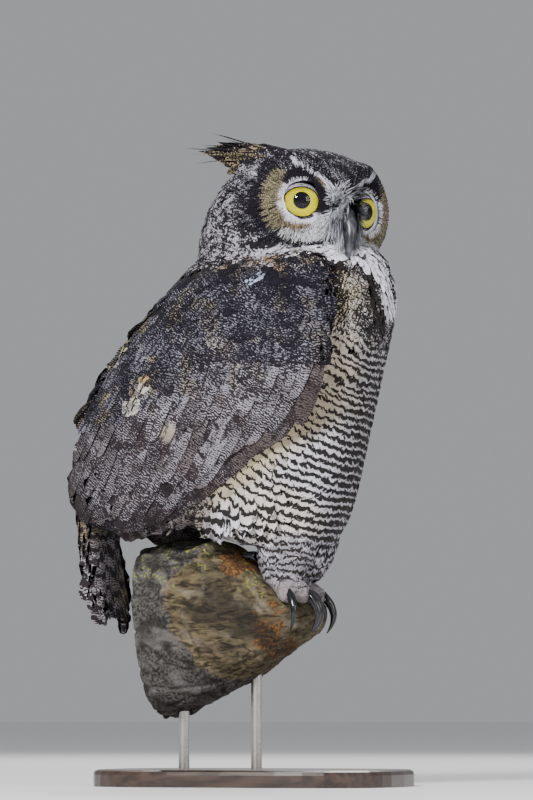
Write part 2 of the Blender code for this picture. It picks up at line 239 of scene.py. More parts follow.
def owner_of(points):
    """Which solid of flesh each point is nearest to, as its place in the list of names."""
    return np.array([owner[owners.find_nearest(point)[2]] for point in points.tolist()])


skin_owner = owner_of(outer_points)
depth = np.array([COAT_DEPTH[name] for name in owner_names])[skin_owner] * MM
thickness = np.empty(len(depth))
for k, (point, normal) in enumerate(zip(outer_points.tolist(), outer_normals.tolist())):
    start = Vector(point) - Vector(normal) * MM
    hit = outer.ray_cast(start, -Vector(normal), THICK)
    thickness[k] = THICK if hit[0] is None else hit[3] + MM
depth = np.minimum(depth, thickness * THIN_SHARE)
depth = np.minimum(depth, evened(depth, skin_edges, STEP_ROUNDS))
hide_points = outer_points - outer_normals * evened(depth, skin_edges, DEPTH_ROUNDS)[:, None]
move_points(skin.data, hide_points)
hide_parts(*owner_names)
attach(skin, "root")
print("skin", len(outer_faces), "faces")

# ---------------------------------------------------------------- plumage of the breast and belly
# Soft contour feathers in close rows, cream on the belly and buff beside the wing, each crossed by
# narrow wavy bars that run on from one feather to the next. The throat has a white bib, and the sides
# of the breast are blotched with black-brown. Every feather is a thin closed vane rooted on the hide.
DRAW = np.random.default_rng(7)
SHOWS = 0.0017  # a root further than this from the outer surface is between two solids
TRIES = 4.5  # roots that are tried in each square of the spacing
ROUND_EDGE = 0.80  # a feather goes straight on where the body turns away by more than this cosine
BAKE_CELLS, BAKE_PATCH = 290, 0.003  # the bake map's grid, and each feather's patch in it
# A feather's faces round its girth, across its patch: four on a vane, three on a hair.
SIDE_STOPS = {4: (0.0, 0.3, 0.6, 0.8, 1.0), 3: (0.0, 0.4, 0.8, 1.0)}
CAMBER, THICKNESS = 0.16, 0.00022  # a vane's bow across its width, and half its thickness
TILT = 0.07  # how far apart the shading of neighbouring feathers is turned
VANE = ((0, 0), (0.28, 0.62), (0.58, 1.0), (0.83, 0.88), (0.955, 0.5), (1, 0))
PALE, CREAM, BUFF = (0.62, 0.61, 0.68), (0.60, 0.56, 0.50), (0.36, 0.29, 0.165)
BLACK, INK = (0.010, 0.008, 0.013), (0.011, 0.009, 0.0085)
BROWN, RUST = (0.026, 0.019, 0.018), (0.26, 0.155, 0.08)
BIB_WHITE, FRONT_GREY = (0.76, 0.75, 0.84), (0.28, 0.27, 0.31)
# Dark grey-brown for the breast feathers behind the wing's front edge: partly blending them into the
# wing, partly painted shade of the flank under the wing.
UNDER_WING_SHADE = (0.19, 0.165, 0.15)
# Feathers' sizes are their length, their width and the depth of their roots.
BELLY_FEATHER, CHEST_FEATHER = (0.027, 0.0115, 0.0068), (0.019, 0.0058, 0.0066)
BELLY_SPACING, CHEST_SPACING = 0.0040, 0.0031
BELLY_SHOWS, CHEST_SHOWS = 0.004, 0.008  # as SHOWS, where the breast swells over the wing's front


def smoothstep(low, high, value):
    share = np.clip((value - low) / (high - low), 0, 1)
    return share * share * (3 - 2 * share)


def blended(first, second, share):
    """A colour or direction between two, by a share at each point."""
    share = np.asarray(share)[..., None]
    return np.asarray(first) * (1 - share) + np.asarray(second) * share


def nearing(value, goal, share):
    """A number taken that share of the way to a goal."""
    return value + (goal - value) * share


def across_from(ways, outs):
    """The ways laid flat against the body, which faces outs."""
    return unit(ways - outs * (ways * outs).sum(-1, keepdims=True))


def mottle(points, size, seed):
    """A soft uneven field between about -1 and 1, with patches of that size."""
    draw = np.random.default_rng(seed)
    total = np.zeros(points.shape[:-1])
    for _ in range(7):
        way = draw.normal(size=3)
        way *= math.tau / (size * draw.uniform(0.8, 2.2) * np.linalg.norm(way))
        total += np.sin(points @ way + draw.uniform(0, math.tau))
    return total / 3.2


def unit(vectors):
    return vectors / np.maximum(np.linalg.norm(vectors, axis=-1, keepdims=True), 1e-9)


def settle(points):
    """The nearest places on the plumage's outer surface, and the way out of it there."""
    places, index = np.empty_like(points), np.empty(len(points), int)
    for k, point in enumerate(points.tolist()):
        places[k], _, index[k], _ = outer.find_nearest(point)
    return places, face_out[index]


def scatter(nodes, spacing, where=None, shows=SHOWS):
    """Roots spread evenly, about that far apart, over the part of those solids that shows."""
    corners = np.concatenate([owner_tris[owner_names.index(node)] for node in nodes])
    cross = np.cross(corners[:, 1] - corners[:, 0], corners[:, 2] - corners[:, 0])
    area = np.linalg.norm(cross, axis=1)
    count = int(area.sum() / 2 / spacing**2 * TRIES)
    pick = DRAW.choice(len(area), count, p=area / area.sum())
    u, v = DRAW.random((2, count, 1))
    folded = u + v > 1
    u, v = np.where(folded, 1 - u, u), np.where(folded, 1 - v, v)
    first, second, third = corners[pick].transpose(1, 0, 2)
    points = first + (second - first) * u + (third - first) * v
    places, outs = settle(points)
    keep = np.linalg.norm(places - points, axis=1) < shows
    if where is not None:
        keep &= where(places)
    places, outs = places[keep], outs[keep]
    near = KDTree(len(places))
    for k, place in enumerate(places.tolist()):
        near.insert(place, k)
    near.balance()
    alive = np.ones(len(places), bool)
    chosen = []
    for k, place in enumerate(places.tolist()):
        if alive[k]:
            chosen.append(k)
            alive[[found[1] for found in near.find_range(place, spacing)]] = False
    return places[chosen], outs[chosen]


def grow(roots, lie, length, width, depth, profile=VANE, stray=0.10, lift=0.0006, sides=4, rise=1.7):
    """Feathers laid from the roots along the body. Each rises from the hide to the outer surface at
    its tip, and keeps straight on past an edge. lie gives the way they point at each root."""
    places, outs = roots
    number = len(places)
    length = length * DRAW.uniform(0.88, 1.12, number)
    width = width * DRAW.uniform(0.9, 1.1, number)
    ahead = lie(places)
    ahead = unit(unit(ahead) + DRAW.normal(0, stray, ahead.shape))
    ahead = across_from(ahead, outs)
    lift = DRAW.uniform(0, lift, number)[:, None]
    mids, normals, ways = [], [], []
    place, out = places, outs
    last = 0.0
    for share, _ in profile:
        if share > last:
            stepped = place + ahead * (length * (share - last))[:, None]
            found, facing = settle(stepped)
            past = (facing * out).sum(-1, keepdims=True) < ROUND_EDGE
            place = np.where(past, stepped, found)
            out = np.where(past, unit(out + facing * 0.08), facing)
            ahead = across_from(ahead, out)
        last = share
        height = lift * share - np.reshape(depth, (-1, 1)) * (1 - share) ** rise
        mids.append(place + out * height)
        normals.append(out)
        ways.append(ahead)
    return {
        "root": places, "mid": np.stack(mids, 1), "out": np.stack(normals, 1),
        "ahead": np.stack(ways, 1), "length": length, "width": width, "profile": profile,
        "sides": sides, "seed": DRAW.random(number),
    }


def spray(places, outs, first_way, last_way, length, width, profile, sides=3, stray=0.1):
    """Feathers that stand free of the body, and bend from their first way to their last."""
    number = len(places)
    shares = np.array([share for share, _ in profile])[None, :, None]
    length = length * DRAW.uniform(0.8, 1.15, number)
    astray = DRAW.normal(0, stray, (number, 3))
    first = (unit(np.broadcast_to(first_way, (number, 3))) + astray)[:, None]
    last = (unit(np.broadcast_to(last_way, (number, 3))) + astray)[:, None]
    mid = places[:, None] + length[:, None, None] * (first * shares + (last - first) * shares**2 / 2)
    ahead = unit(first + (last - first) * shares)
    out = across_from(np.broadcast_to(outs[:, None], ahead.shape), ahead)
    return {
        "root": places, "mid": mid, "out": out, "ahead": ahead, "length": length,
        "width": width * DRAW.uniform(0.85, 1.15, number), "profile": profile, "sides": sides,
        "seed": DRAW.random(number),
    }


def bake_places(flat):
    """A cell of the bake map for each feather: its place on the flat map, or the nearest free cell."""
    low, high = flat.min(0), flat.max(0)
    wanted = ((flat - low) / (high - low) * (BAKE_CELLS - 1)).round().astype(int)
    taken, cells = set(), []
    for x, y in wanted.tolist():
        ring = 0
        while True:
            free = [
                (x + i, y + j)
                for i in range(-ring, ring + 1)
                for j in range(-ring, ring + 1)
                if max(abs(i), abs(j)) == ring and (x + i, y + j) not in taken
                and 0 <= x + i < BAKE_CELLS and 0 <= y + j < BAKE_CELLS
            ]
            if free:
                break
            ring += 1
        taken.add(free[0])
        cells.append(free[0])
    return np.array(cells) / BAKE_CELLS


def plume(name, batches, material, slot, flatten):
    """One coat piece: all the feathers of the batches in one mesh. flatten unrolls the roots' part of
    the body into a plane for the bake map."""
    points, normals, attributes, corner_verts, corner_uvs, face_sizes = [], [], {}, [], [], []
    cells = bake_places(flatten(np.concatenate([batch["root"] for batch in batches])))
    start = done = 0
    for batch in batches:
        shares, widths = np.array(batch["profile"]).T
        number, rings, sides = len(batch["root"]), len(shares) - 2, batch["sides"]
        mid, out, ahead = batch["mid"], batch["out"], batch["ahead"]
        across = np.cross(ahead, out)
        half = (batch["width"][:, None] * widths / 2)[..., None]
        camber = batch.get("camber", CAMBER)
        shaft = out * THICKNESS
        left = mid - across * half - out * half * camber
        right = mid + across * half - out * half * camber
        if sides == 4:
            around = np.stack([left, mid + shaft, right, mid - shaft], 2)
            span = np.array([-1.0, 0.0, 1.0, 0.0])
        else:
            around = np.stack([left, mid + out * half * 0.8, right], 2)
            span = np.array([-1.0, 0.0, 1.0])
        body_rings = around[:, 1:-1].reshape(number, -1, 3)
        verts = np.concatenate([mid[:, :1], body_rings, mid[:, -1:]], 1)
        each = verts.shape[1]
        station = np.concatenate([[0], np.repeat(np.arange(1, rings + 1), sides), [rings + 1]])
        spread = np.concatenate([[0], np.tile(span, rings), [0]])
        points.append(verts.reshape(-1, 3))
        tilt = DRAW.normal(0, TILT, (number, 1, 3))
        facing = unit(out[:, station] + tilt + across[:, station] * (0.25 * spread)[None, :, None])
        facing[:, 4:-1:4] *= -1 if sides == 4 else 1
        normals.append(facing.reshape(-1, 3))
        marks = batch["marks"]
        values = {
            "ground": marks["ground"][:, station],
            "ink": marks["ink"][:, station],
            "mark": np.stack([marks[key] for key in ("bars", "streak", "cover")], -1)[:, station],
            "vane": np.stack([
                spread * (half[..., 0] / MM)[:, station],
                (shares * batch["length"][:, None] / MM)[:, station],
                np.repeat(batch["seed"][:, None] * 999, each, 1),
            ], -1),
            "cut": np.stack([
                marks["phase"][:, station],
                np.tile(spread, (number, 1)),
                np.tile(shares[station], (number, 1)),
            ], -1),
        }
        for key, value in values.items():
            attributes.setdefault(key, []).append(value.reshape(-1, 3))
        stops = SIDE_STOPS[sides]
        faces, uvs = [], []
        for k in range(sides):
            n, low, high = (k + 1) % sides, stops[k], stops[k + 1]
            centre = (low + high) / 2
            faces.append((0, 1 + n, 1 + k))
            uvs += [(centre, 0), (high, shares[1]), (low, shares[1])]
            for ring in range(rings - 1):
                a, b = 1 + ring * sides, 1 + (ring + 1) * sides
                faces.append((a + k, a + n, b + n, b + k))
                s, t = shares[ring + 1], shares[ring + 2]
                uvs += [(low, s), (high, s), (high, t), (low, t)]
            a = 1 + (rings - 1) * sides
            faces.append((a + k, a + n, each - 1))
            uvs += [(low, shares[-2]), (high, shares[-2]), (centre, 1)]
        order = np.concatenate([np.array(face) for face in faces])
        bases = start + each * np.arange(number)[:, None]
        corner_verts.append((order[None] + bases).ravel())
        places = cells[done : done + number, None] + np.array(uvs)[None] * BAKE_PATCH
        corner_uvs.append(places.reshape(-1, 2))
        face_sizes.append(np.tile([len(face) for face in faces], number))
        start += each * number
        done += number
    arrays = points, normals, corner_verts, face_sizes, corner_uvs
    return joined_mesh(name, *map(np.concatenate, arrays), attributes, material, slot)


def joined_mesh(name, points, normals, corners, sizes, uvs, attributes, material, slot):
    """A mesh object from arrays, with its bake map and its feathers' attributes."""
    mesh = bpy.data.meshes.new(name)
    mesh.vertices.add(len(points))
    mesh.vertices.foreach_set("co", points.astype(np.float32).ravel())
    mesh.loops.add(len(corners))
    mesh.loops.foreach_set("vertex_index", corners.astype(np.int32))
    mesh.polygons.add(len(sizes))
    starts = np.concatenate([[0], np.cumsum(sizes)[:-1]])
    mesh.polygons.foreach_set("loop_start", starts.astype(np.int32))
    mesh.update(calc_edges=True)
    bake = mesh.uv_layers.new(name="OFBake")
    bake.uv.foreach_set("vector", uvs.astype(np.float32).ravel())
    for key, values in attributes.items():
        add_vectors(mesh, key, np.concatenate(values))
    mesh.shade_smooth()
    mesh.normals_split_custom_set_from_vertices(normals.tolist())
    mesh.materials.append(material)
    thing = bpy.data.objects.new(name, mesh)
    bpy.context.scene.collection.objects.link(thing)
    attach(thing, "root")
    print(name, int((sizes - 2).sum()), "triangles")
    return thing


class Nodes:
    """Shorthand for wiring one material."""

    def __init__(self, name):
        self.material = bpy.data.materials.new(name)
        self.material.use_nodes = True
        self.tree = self.material.node_tree
        self.shader = self.tree.nodes["Principled BSDF"]

    def add(self, kind, links=(), **settings):
        node = self.tree.nodes.new(kind)
        for key, value in settings.items():
            setattr(node, key, value)
        for socket, source in dict(links).items():
            self.join(source, node.inputs[socket])
        return node

    def join(self, source, target):
        if isinstance(source, bpy.types.NodeSocket):
            self.tree.links.new(source, target)
        elif target.type == "RGBA":
            target.default_value = (*source, 1)
        else:
            target.default_value = source

    def calc(self, operation, *terms):
        """A Math node over the terms."""
        return self.add("ShaderNodeMath", enumerate(terms), operation=operation).outputs[0]

    def ramp(self, value, low, high, start=0.0, end=1.0):
        """The value taken smoothly from one range to another."""
        links = {"Value": value, "From Min": low, "From Max": high, "To Min": start, "To Max": end}
        return self.add("ShaderNodeMapRange", links, interpolation_type="SMOOTHSTEP").outputs[0]

    def mix(self, share, first, second):
        """A colour between two."""
        node = self.add("ShaderNodeMix", {0: share, 6: first, 7: second}, data_type="RGBA")
        return node.outputs[2]

    def field(self, vector, scale, detail=2.0, distortion=0.0):
        links = {"Vector": vector, "Scale": scale, "Detail": detail, "Distortion": distortion}
        return self.add("ShaderNodeTexNoise", links).outputs["Fac"]

    def place(self):
        """Where a point is on the object, in metres."""
        return self.add("ShaderNodeTexCoord").outputs["Object"]

    def read(self, name):
        """The vectors that the mesh carries under that name."""
        return self.add("ShaderNodeAttribute", attribute_name=name).outputs["Vector"]

    def parts(self, vector):
        return self.add("ShaderNodeSeparateXYZ", {0: vector}).outputs

    def scaled(self, vector, factors):
        return self.add("ShaderNodeMapping", {"Vector": vector, "Scale": factors}).outputs[0]

    def bump(self, height, strength, distance):
        links = {"Height": height, "Strength": strength, "Distance": distance}
        self.join(self.add("ShaderNodeBump", links).outputs[0], self.shader.inputs["Normal"])

    def finish(self, colour, roughness, **constants):
        self.join(colour, self.shader.inputs["Base Color"])
        self.join(roughness, self.shader.inputs["Roughness"])
        for name, value in constants.items():
            self.shader.inputs[name.replace("_", " ")].default_value = value
        return self.material


def plumage(name, worm=2.1, one_sided=False, sheen=0.02):
    """Feather: pale ground with dark wandering lines (vermiculation), cross bars and shaft streak.
    worm is the lines' spacing in millimetres. With one_sided the bars cross only one vane."""
    wire = Nodes(name)
    ground, ink, mark, vane, cut = (
        wire.add("ShaderNodeAttribute", attribute_name=key).outputs
        for key in ("ground", "ink", "mark", "vane", "cut")
    )
    place = wire.place()
    bars, streak, cover = wire.parts(mark["Vector"])
    phase, across, _ = wire.parts(cut["Vector"])
    beside = wire.calc("ABSOLUTE", across)
    drift = wire.field(wire.scaled(vane["Vector"], (0.17, 0.13, 1)), 1.0, 3.0)
    fine = wire.field(wire.scaled(vane["Vector"], (0.75, 0.55, 1)), 1.0, 2.0)
    turns = wire.calc("MULTIPLY", wire.parts(vane["Vector"])[1], math.tau / worm)
    turns = wire.calc("ADD", turns, wire.calc("MULTIPLY", drift, 22.0))
    turns = wire.calc("SUBTRACT", turns, wire.calc("MULTIPLY", beside, 1.6))
    lines = wire.calc("MULTIPLY_ADD", wire.calc("SINE", turns), 0.27, 0.03)
    lines = wire.calc("ADD", lines, wire.calc("MULTIPLY_ADD", fine, 1.35, -0.2))
    gap = wire.calc("SUBTRACT", 1.0, cover)
    pale = wire.ramp(lines, wire.calc("SUBTRACT", gap, 0.09), wire.calc("ADD", gap, 0.09))
    colour = wire.mix(pale, ink["Color"], ground["Color"])
    wave = wire.field(place, 120, 3)
    jag = wire.field(wire.scaled(vane["Vector"], (1.1, 0.3, 1)), 1.0, 2)
    arched = wire.calc("MULTIPLY", wire.calc("MULTIPLY", across, across), 0.26)
    shifted = wire.calc("ADD", phase, arched)
    shifted = wire.calc("ADD", shifted, wire.calc("MULTIPLY", wave, 1.1))
    shifted = wire.calc("ADD", shifted, wire.calc("MULTIPLY", jag, 0.45))
    ridge = wire.calc("ABSOLUTE", wire.calc("SUBTRACT", wire.calc("FRACT", shifted), 0.5))
    half = wire.calc("MULTIPLY", bars, 0.25)
    band = wire.ramp(ridge, wire.calc("ADD", half, 0.04), wire.calc("SUBTRACT", half, 0.04))
    band = wire.calc("MULTIPLY", band, wire.ramp(bars, 0.02, 0.25))
    if one_sided:
        band = wire.calc("MULTIPLY", band, wire.ramp(across, -0.10, 0.06))
    rib = wire.calc("ADD", beside, wire.calc("MULTIPLY_ADD", fine, 1.6, -0.8))
    reach = wire.calc("MULTIPLY", streak, 0.6)
    rib = wire.ramp(rib, wire.calc("ADD", reach, 0.12), wire.calc("SUBTRACT", reach, 0.12))
    rib = wire.calc("MULTIPLY", rib, wire.ramp(streak, 0.02, 0.2))
    dark = wire.mix(0.985, ground["Color"], ink["Color"])
    colour = wire.mix(wire.calc("MAXIMUM", band, rib), colour, dark)
    uneven = wire.ramp(wire.field(place, 24, 4), 0.30, 0.70, 0.84, 1.12)
    colour = wire.add("ShaderNodeVectorMath", {0: colour, 1: uneven}, operation="MULTIPLY").outputs[0]
    barb = wire.calc("MULTIPLY_ADD", beside, -4.0, wire.parts(vane["Vector"])[1])
    ripple = wire.calc("SINE", wire.calc("MULTIPLY", barb, 7.0))
    wire.bump(wire.calc("MULTIPLY_ADD", ripple, 0.25, fine), 0.30, 0.0004)
    return wire.finish(colour, 0.86, Specular_IOR_Level=0.09, Sheen_Weight=sheen, Sheen_Roughness=0.6)


def side_edge(node, end):
    """The solid's front or rear edge in side view, as a function of height. end is max or min."""
    corners = owner_tris[owner_names.index(node)]
    shares = np.linspace(0, 1, 12)[:, None, None]
    along = corners[:, (1, 2, 0)] - corners
    points = (corners[None] + along[None] * shares[..., None]).reshape(-1, 3)
    heights = np.linspace(points[:, 2].min(), points[:, 2].max(), 30)
    reach = [end(points[np.abs(points[:, 2] - height) < 0.005, 0]) for height in heights]
    return lambda z: np.interp(z, heights, reach)


breast_front, wing_front = side_edge("trunk", max), side_edge("wing_right", max)
DOWN_BREAST, DOWN_FLANK = (-0.10, 0.0, -1.0), (-0.70, 0.0, -0.71)
BAR_LEVEL = 0.235  # the height that the bars are counted from
BAR_PITCH, PITCH_GAIN = 6.3, 0.030  # millimetres between bars in front, and how they widen behind
BAR_SLOPE, BAR_SAG = 0.05, 0.004  # how the bars drop from the breast's front to the flank
BEHIND_MOST = 0.09  # the bars stop widening this far behind the breast's front
# Heights, and the bib's half width at each.
BIB = ((0.380, 0.395, 0.410, 0.4155, 0.4326, 0.452), (0.010, 0.018, 0.024, 0.028, 0.053, 0.058))
BIB_FADES, RIM_FADES = (0.374, 0.392), (0.372, 0.39)  # the heights over which they come in
BREAST_TOP, RUFF = (0.362, 0.398), (0.405, 0.43)  # the barred part gives way to blotches, and to rust
FLAME_PITCH = 0.0046  # the dark flames beside the bib are pi times this apart


def breast_lie(places):
    """Straight down in front, and back along the wing's edge on the flanks."""
    beside = 1 - smoothstep(0.0, 0.050, places[:, 0] - wing_front(places[:, 2]))
    return blended(DOWN_BREAST, DOWN_FLANK, beside)


def shade(places, ground, ink=BLACK, bars=0.0, streak=0.0, cover=1.0, phase=0.0):
    """The markings as arrays over the places."""
    flat = places.shape[:-1]
    spread = {"bars": bars, "streak": streak, "cover": cover, "phase": phase}
    marks = {key: np.broadcast_to(value, flat).astype(float) for key, value in spread.items()}
    for key, value in (("ground", ground), ("ink", ink)):
        marks[key] = np.broadcast_to(value, flat + (3,)).astype(float)
    return marks


def breast_marks(places):
    """Wavy bars up to the breast's top, and blotches and flames from there up, beside a white bib."""
    x, y, z = np.moveaxis(places, -1, 0)
    behind = np.clip(breast_front(z) - x, 0, BEHIND_MOST) / MM
    above = (z - BAR_LEVEL) / MM - BAR_SLOPE * behind - BAR_SAG * behind**2
    phase = -above / (BAR_PITCH + PITCH_GAIN * behind) + 0.25 * mottle(places, 0.05, 3)
    beside = 1 - smoothstep(0.002, 0.034, x - wing_front(z))
    high = smoothstep(*BREAST_TOP, z + 0.020 * np.exp(-behind / 18))
    bib_half = np.interp(z, *BIB)
    in_bib = smoothstep(0.005, -0.003, np.abs(y) - bib_half) * smoothstep(0.04, 0.06, x)
    in_bib = in_bib * smoothstep(*BIB_FADES, z)
    flame = np.sin(np.abs(y) / FLAME_PITCH + 1.6 * mottle(places * (1, 1, 0.4), 0.02, 9))
    flame = smoothstep(0.1, 0.8, flame) * smoothstep(0.045, 0.028, np.abs(y))
    rim = smoothstep(0.018, 0.006, np.abs(y) - bib_half) * (1 - in_bib) * high
    rim = rim * smoothstep(*RIM_FADES, z)
    blotch = smoothstep(-0.25, 0.30, mottle(places * (1, 1, 0.5), 0.014, 5))
    ground = blended(PALE, CREAM, smoothstep(-0.5, 0.8, mottle(places, 0.04, 6)))
    ground = blended(ground, BUFF, 0.85 * beside * (1 - 0.5 * high))
    warm = high * (1 - in_bib) * smoothstep(-0.2, 0.5, mottle(places, 0.026, 8))
    ground = blended(ground, BUFF, 0.8 * warm)
    ground = blended(ground, RUST, 0.6 * warm * smoothstep(*RUFF, z))
    ground = blended(ground, BIB_WHITE, in_bib)
    cover = 1.25 - high * (1 - in_bib) * (0.76 + 0.36 * blotch) - 0.9 * rim * (0.4 + 0.6 * blotch)
    cover = cover - 1.1 * in_bib * smoothstep(-0.016, -0.006, y) * blotch
    cover = cover + 0.25 * high * beside - 0.75 * high * flame * (1 - in_bib)
    in_front_of = np.exp(-behind / 16) * (1 - in_bib)
    ground = blended(ground, FRONT_GREY, 0.8 * in_front_of)
    # Painted shade: behind the wing's front edge the breast's feathers turn dark grey-brown and lose
    # their pale, as the flank in shade under the wing.
    under_wing_shade = smoothstep(-0.004, -0.026, x)
    ground, cover = blended(ground, UNDER_WING_SHADE, under_wing_shade), cover - 0.65 * under_wing_shade
    bars = (0.92 - 0.34 * beside + 0.6 * in_front_of) * (1 - high) + 0.35 * high
    streak = (0.3 + 0.6 * blotch) * high * (1 - in_bib)
    return shade(places, ground, INK, bars * (1 - in_bib), streak, cover, phase)


def feathered(batch, marks_of, uneven=0.10, jitter=0.0, whole=None, patchy=0.0, **more):
    """Gives a batch its markings, evaluated along each feather or, with whole, at that one station of
    it, with a little difference from one feather to the next: in tone, bars, and share of pale."""
    number, stations = batch["mid"].shape[:2]
    marks = marks_of(batch["mid"])
    if whole is not None:
        single = marks_of(batch["mid"][:, whole])
        for key in ("ground", "ink", "cover", "bars", "streak"):
            marks[key] = np.repeat(single[key][:, None], stations, 1)
    marks["ground"] = marks["ground"] * DRAW.uniform(1 - uneven, 1 + uneven, (number, 1, 1))
    marks["phase"] = marks["phase"] + DRAW.normal(0, jitter, (number, 1))
    marks["cover"] = marks["cover"] + DRAW.normal(0, patchy, (number, 1))
    batch["marks"] = marks
    batch.update(more)
    return batch


def round_axis(centre, up):
    """Unrolls places round an axis through the centre: the angle round it, and the way along it."""
    centre, up = Vector(centre), Vector(up).normalized()
    side = up.orthogonal().normalized()
    front = up.cross(side)

    def flatten(places):
        apart = places - np.array(centre)
        angle = np.arctan2(apart @ np.array(side), apart @ np.array(front))
        return np.stack([angle, apart @ np.array(up)], 1)

    return flatten


def in_front(places):
    """The trunk's places that aren't between the wings on the back."""
    return (places[:, 0] > -0.02) | (places[:, 2] < 0.265)


breast_vane = plumage("breast feather", worm=2.6, sheen=0.05)
trunk_low, trunk_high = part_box("trunk")
trunk_middle = (trunk_low + trunk_high) / 2
TRUNK_UP = (0.25, 0, 1)
belly_roots = scatter(["trunk"], BELLY_SPACING, lambda p: in_front(p) & (p[:, 2] < 0.385), BELLY_SHOWS)
chest_roots = scatter(["trunk"], CHEST_SPACING, lambda p: in_front(p) & (p[:, 2] >= 0.380), CHEST_SHOWS)
belly = feathered(
    grow(belly_roots, breast_lie, *BELLY_FEATHER, stray=0.05, lift=0.0003),
    breast_marks, uneven=0.07, jitter=0.03, camber=0.03,
)
chest = feathered(
    grow(chest_roots, breast_lie, *CHEST_FEATHER, stray=0.11, lift=0.0006),
    breast_marks, uneven=0.14, jitter=0.2, whole=4, patchy=0.10, camber=0.04,
)

# Longer, looser feathers hang from each flank's lower edge over the top of the leg.
FRINGE_COUNT, FRINGE_WIDTH, FRINGE_LENGTH = 96, 0.0078, (0.018, 0.012)  # shortest, and how much more
FRINGE_FROM, FRINGE_SPAN = (-0.026, 0.040, 0.234), (0.058, 0.016, 0.012)  # a corner of its roots' box
FRINGE_UNDER = 0.003
flank_fringe = []
for sign in SIDES.values():
    draw = DRAW.random((FRINGE_COUNT, 3))
    places, outs = settle((draw * FRINGE_SPAN + FRINGE_FROM) * (1, sign, 1))
    outs = unit(outs * (1, 1, 0.2) + (0, 0.5 * sign, 0))
    first_way, last_way = (-0.25, 0.20 * sign, -1.0), (0.35, -0.10 * sign, -1.0)
    length = FRINGE_LENGTH[0] + FRINGE_LENGTH[1] * draw[:, 2]
    places = places - outs * FRINGE_UNDER
    flank_fringe.append(feathered(
        spray(places, outs, first_way, last_way, length, FRINGE_WIDTH, VANE, 4, 0.09),
        breast_marks, uneven=0.10, jitter=0.10, camber=0.10,
    ))
round_trunk = round_axis(trunk_middle, TRUNK_UP)
plume("belly", [belly] + flank_fringe, breast_vane, "plumage_breast", round_trunk)
plume("chest", [chest], breast_vane, "plumage_breast", round_trunk)

# ---------------------------------------------------------------- leggings and toes
# Short hair-like feathers cover the shanks and the toes down to the claws, faintly barred above and
# plain greyish buff below, painted darker than their own colour as shade over the lower leg, most on
# the toes.
# Both grounds are darker than the bird's own pale buff, the toes' more so: painted shade over the lower
# leg.
LEG_PALE_SHADED, TOE_SHADED = (0.35, 0.34, 0.385), (0.30, 0.26, 0.27)
HAIR = ((0, 0), (0.4, 1.0), (0.78, 0.62), (1, 0))
SHANK_FEATHER, TOE_HAIR = (0.0165, 0.0060, 0.0035), (0.0066, 0.0015, 0.0016)
SHANK_SPACING, TOE_SPACING, SHANK_WAY = 0.0029, 0.0014, (-0.02, 0.0, -1.0)
LEG_BAR_PITCH, ANKLE = 6.0, (0.176, 0.160)  # millimetres; the bars end between these heights
foot_middles = {side: sum(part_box("foot_" + side), Vector()) / 2 for side in SIDES}


def leg_marks(places):
    z = places[..., 2]
    low = smoothstep(*ANKLE, z + 0.003 * mottle(places, 0.01, 12))
    phase = -(z - BAR_LEVEL) / MM / LEG_BAR_PITCH + 0.45 * mottle(places, 0.02, 11)
    # Below the ankle the bars end and the ground darkens to the toes' colour, as painted shade.
    ground = blended(LEG_PALE_SHADED, TOE_SHADED, low)
    return shade(places, ground, BROWN, 0.95 * (1 - low), 0.12 * (1 - low), 0.98 - 0.12 * low, phase)


def toe_lie(side):
    """Forwards and down, away from the middle of the foot."""
    middle = np.array(foot_middles[side])

    def lie(places):
        out = places - middle
        out[:, 2] = np.minimum(out[:, 2], 0) - 0.006
        return out + np.array((0.004, 0, 0))

    return lie


leg_vane = plumage("legging feather", worm=2.5, sheen=0.05)
leg_batches = []
for side in SIDES:
    shank = scatter(["leg_" + side], SHANK_SPACING)
    leg_batches.append(feathered(
        grow(shank, lambda p: np.full(p.shape, SHANK_WAY), *SHANK_FEATHER, stray=0.13, lift=0.0014),
        leg_marks, jitter=0.10, patchy=0.10, camber=0.08,
    ))
    toes = scatter(["foot_" + side], TOE_SPACING)
    leg_batches.append(feathered(
        grow(toes, toe_lie(side), *TOE_HAIR, HAIR, stray=0.28, lift=0.0005, sides=3),
        leg_marks, uneven=0.2, patchy=0.12,
    ))
plume("leggings", leg_batches, leg_vane, "plumage_leg", round_axis((0.03, 0, 0.2), (0, 0, 1)))

# ---------------------------------------------------------------- plumage of the head
# Hair-like feathers ring each eye and fan out over the facial disc to its black rim. White bristles
# spread from the root of the bill, a white line runs up each brow to the ear tuft, and the crown is
# black, finely flecked with white.
GAZE_SPLAY = math.radians(22)
EYES_AHEAD = 0.0206  # how far the eyes' middles are ahead of the head's
eye_middles = {side: sum((Vector(c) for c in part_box("eye_" + side)), Vector()) / 2 for side in SIDES}
head_y = (eye_middles["left"] - eye_middles["right"]).normalized()
head_x = head_y.cross(Vector((0, 0, 1))).normalized()
head_z = head_x.cross(head_y)
head_axes = np.array([head_x, head_y, head_z])
eyes_between = np.array((eye_middles["left"] + eye_middles["right"]) / 2)
head_middle = eyes_between - EYES_AHEAD * head_axes[0]
eye_apart = (eye_middles["left"] - eye_middles["right"]).length / 2
FLECK, NAPE_PALE, NAPE_INK = (0.34, 0.335, 0.38), (0.34, 0.33, 0.37), (0.020, 0.018, 0.024)
TEMPLE_PALE, GAPE_RUST = (0.42, 0.42, 0.47), (0.20, 0.115, 0.05)
# The facial disc's black rim, and the black over each lid, which is also the brow's painted shadow.
RIM_BLACK, LID_BLACK_AND_SHADE = (0.12, 0.115, 0.14), (0.05, 0.045, 0.055)
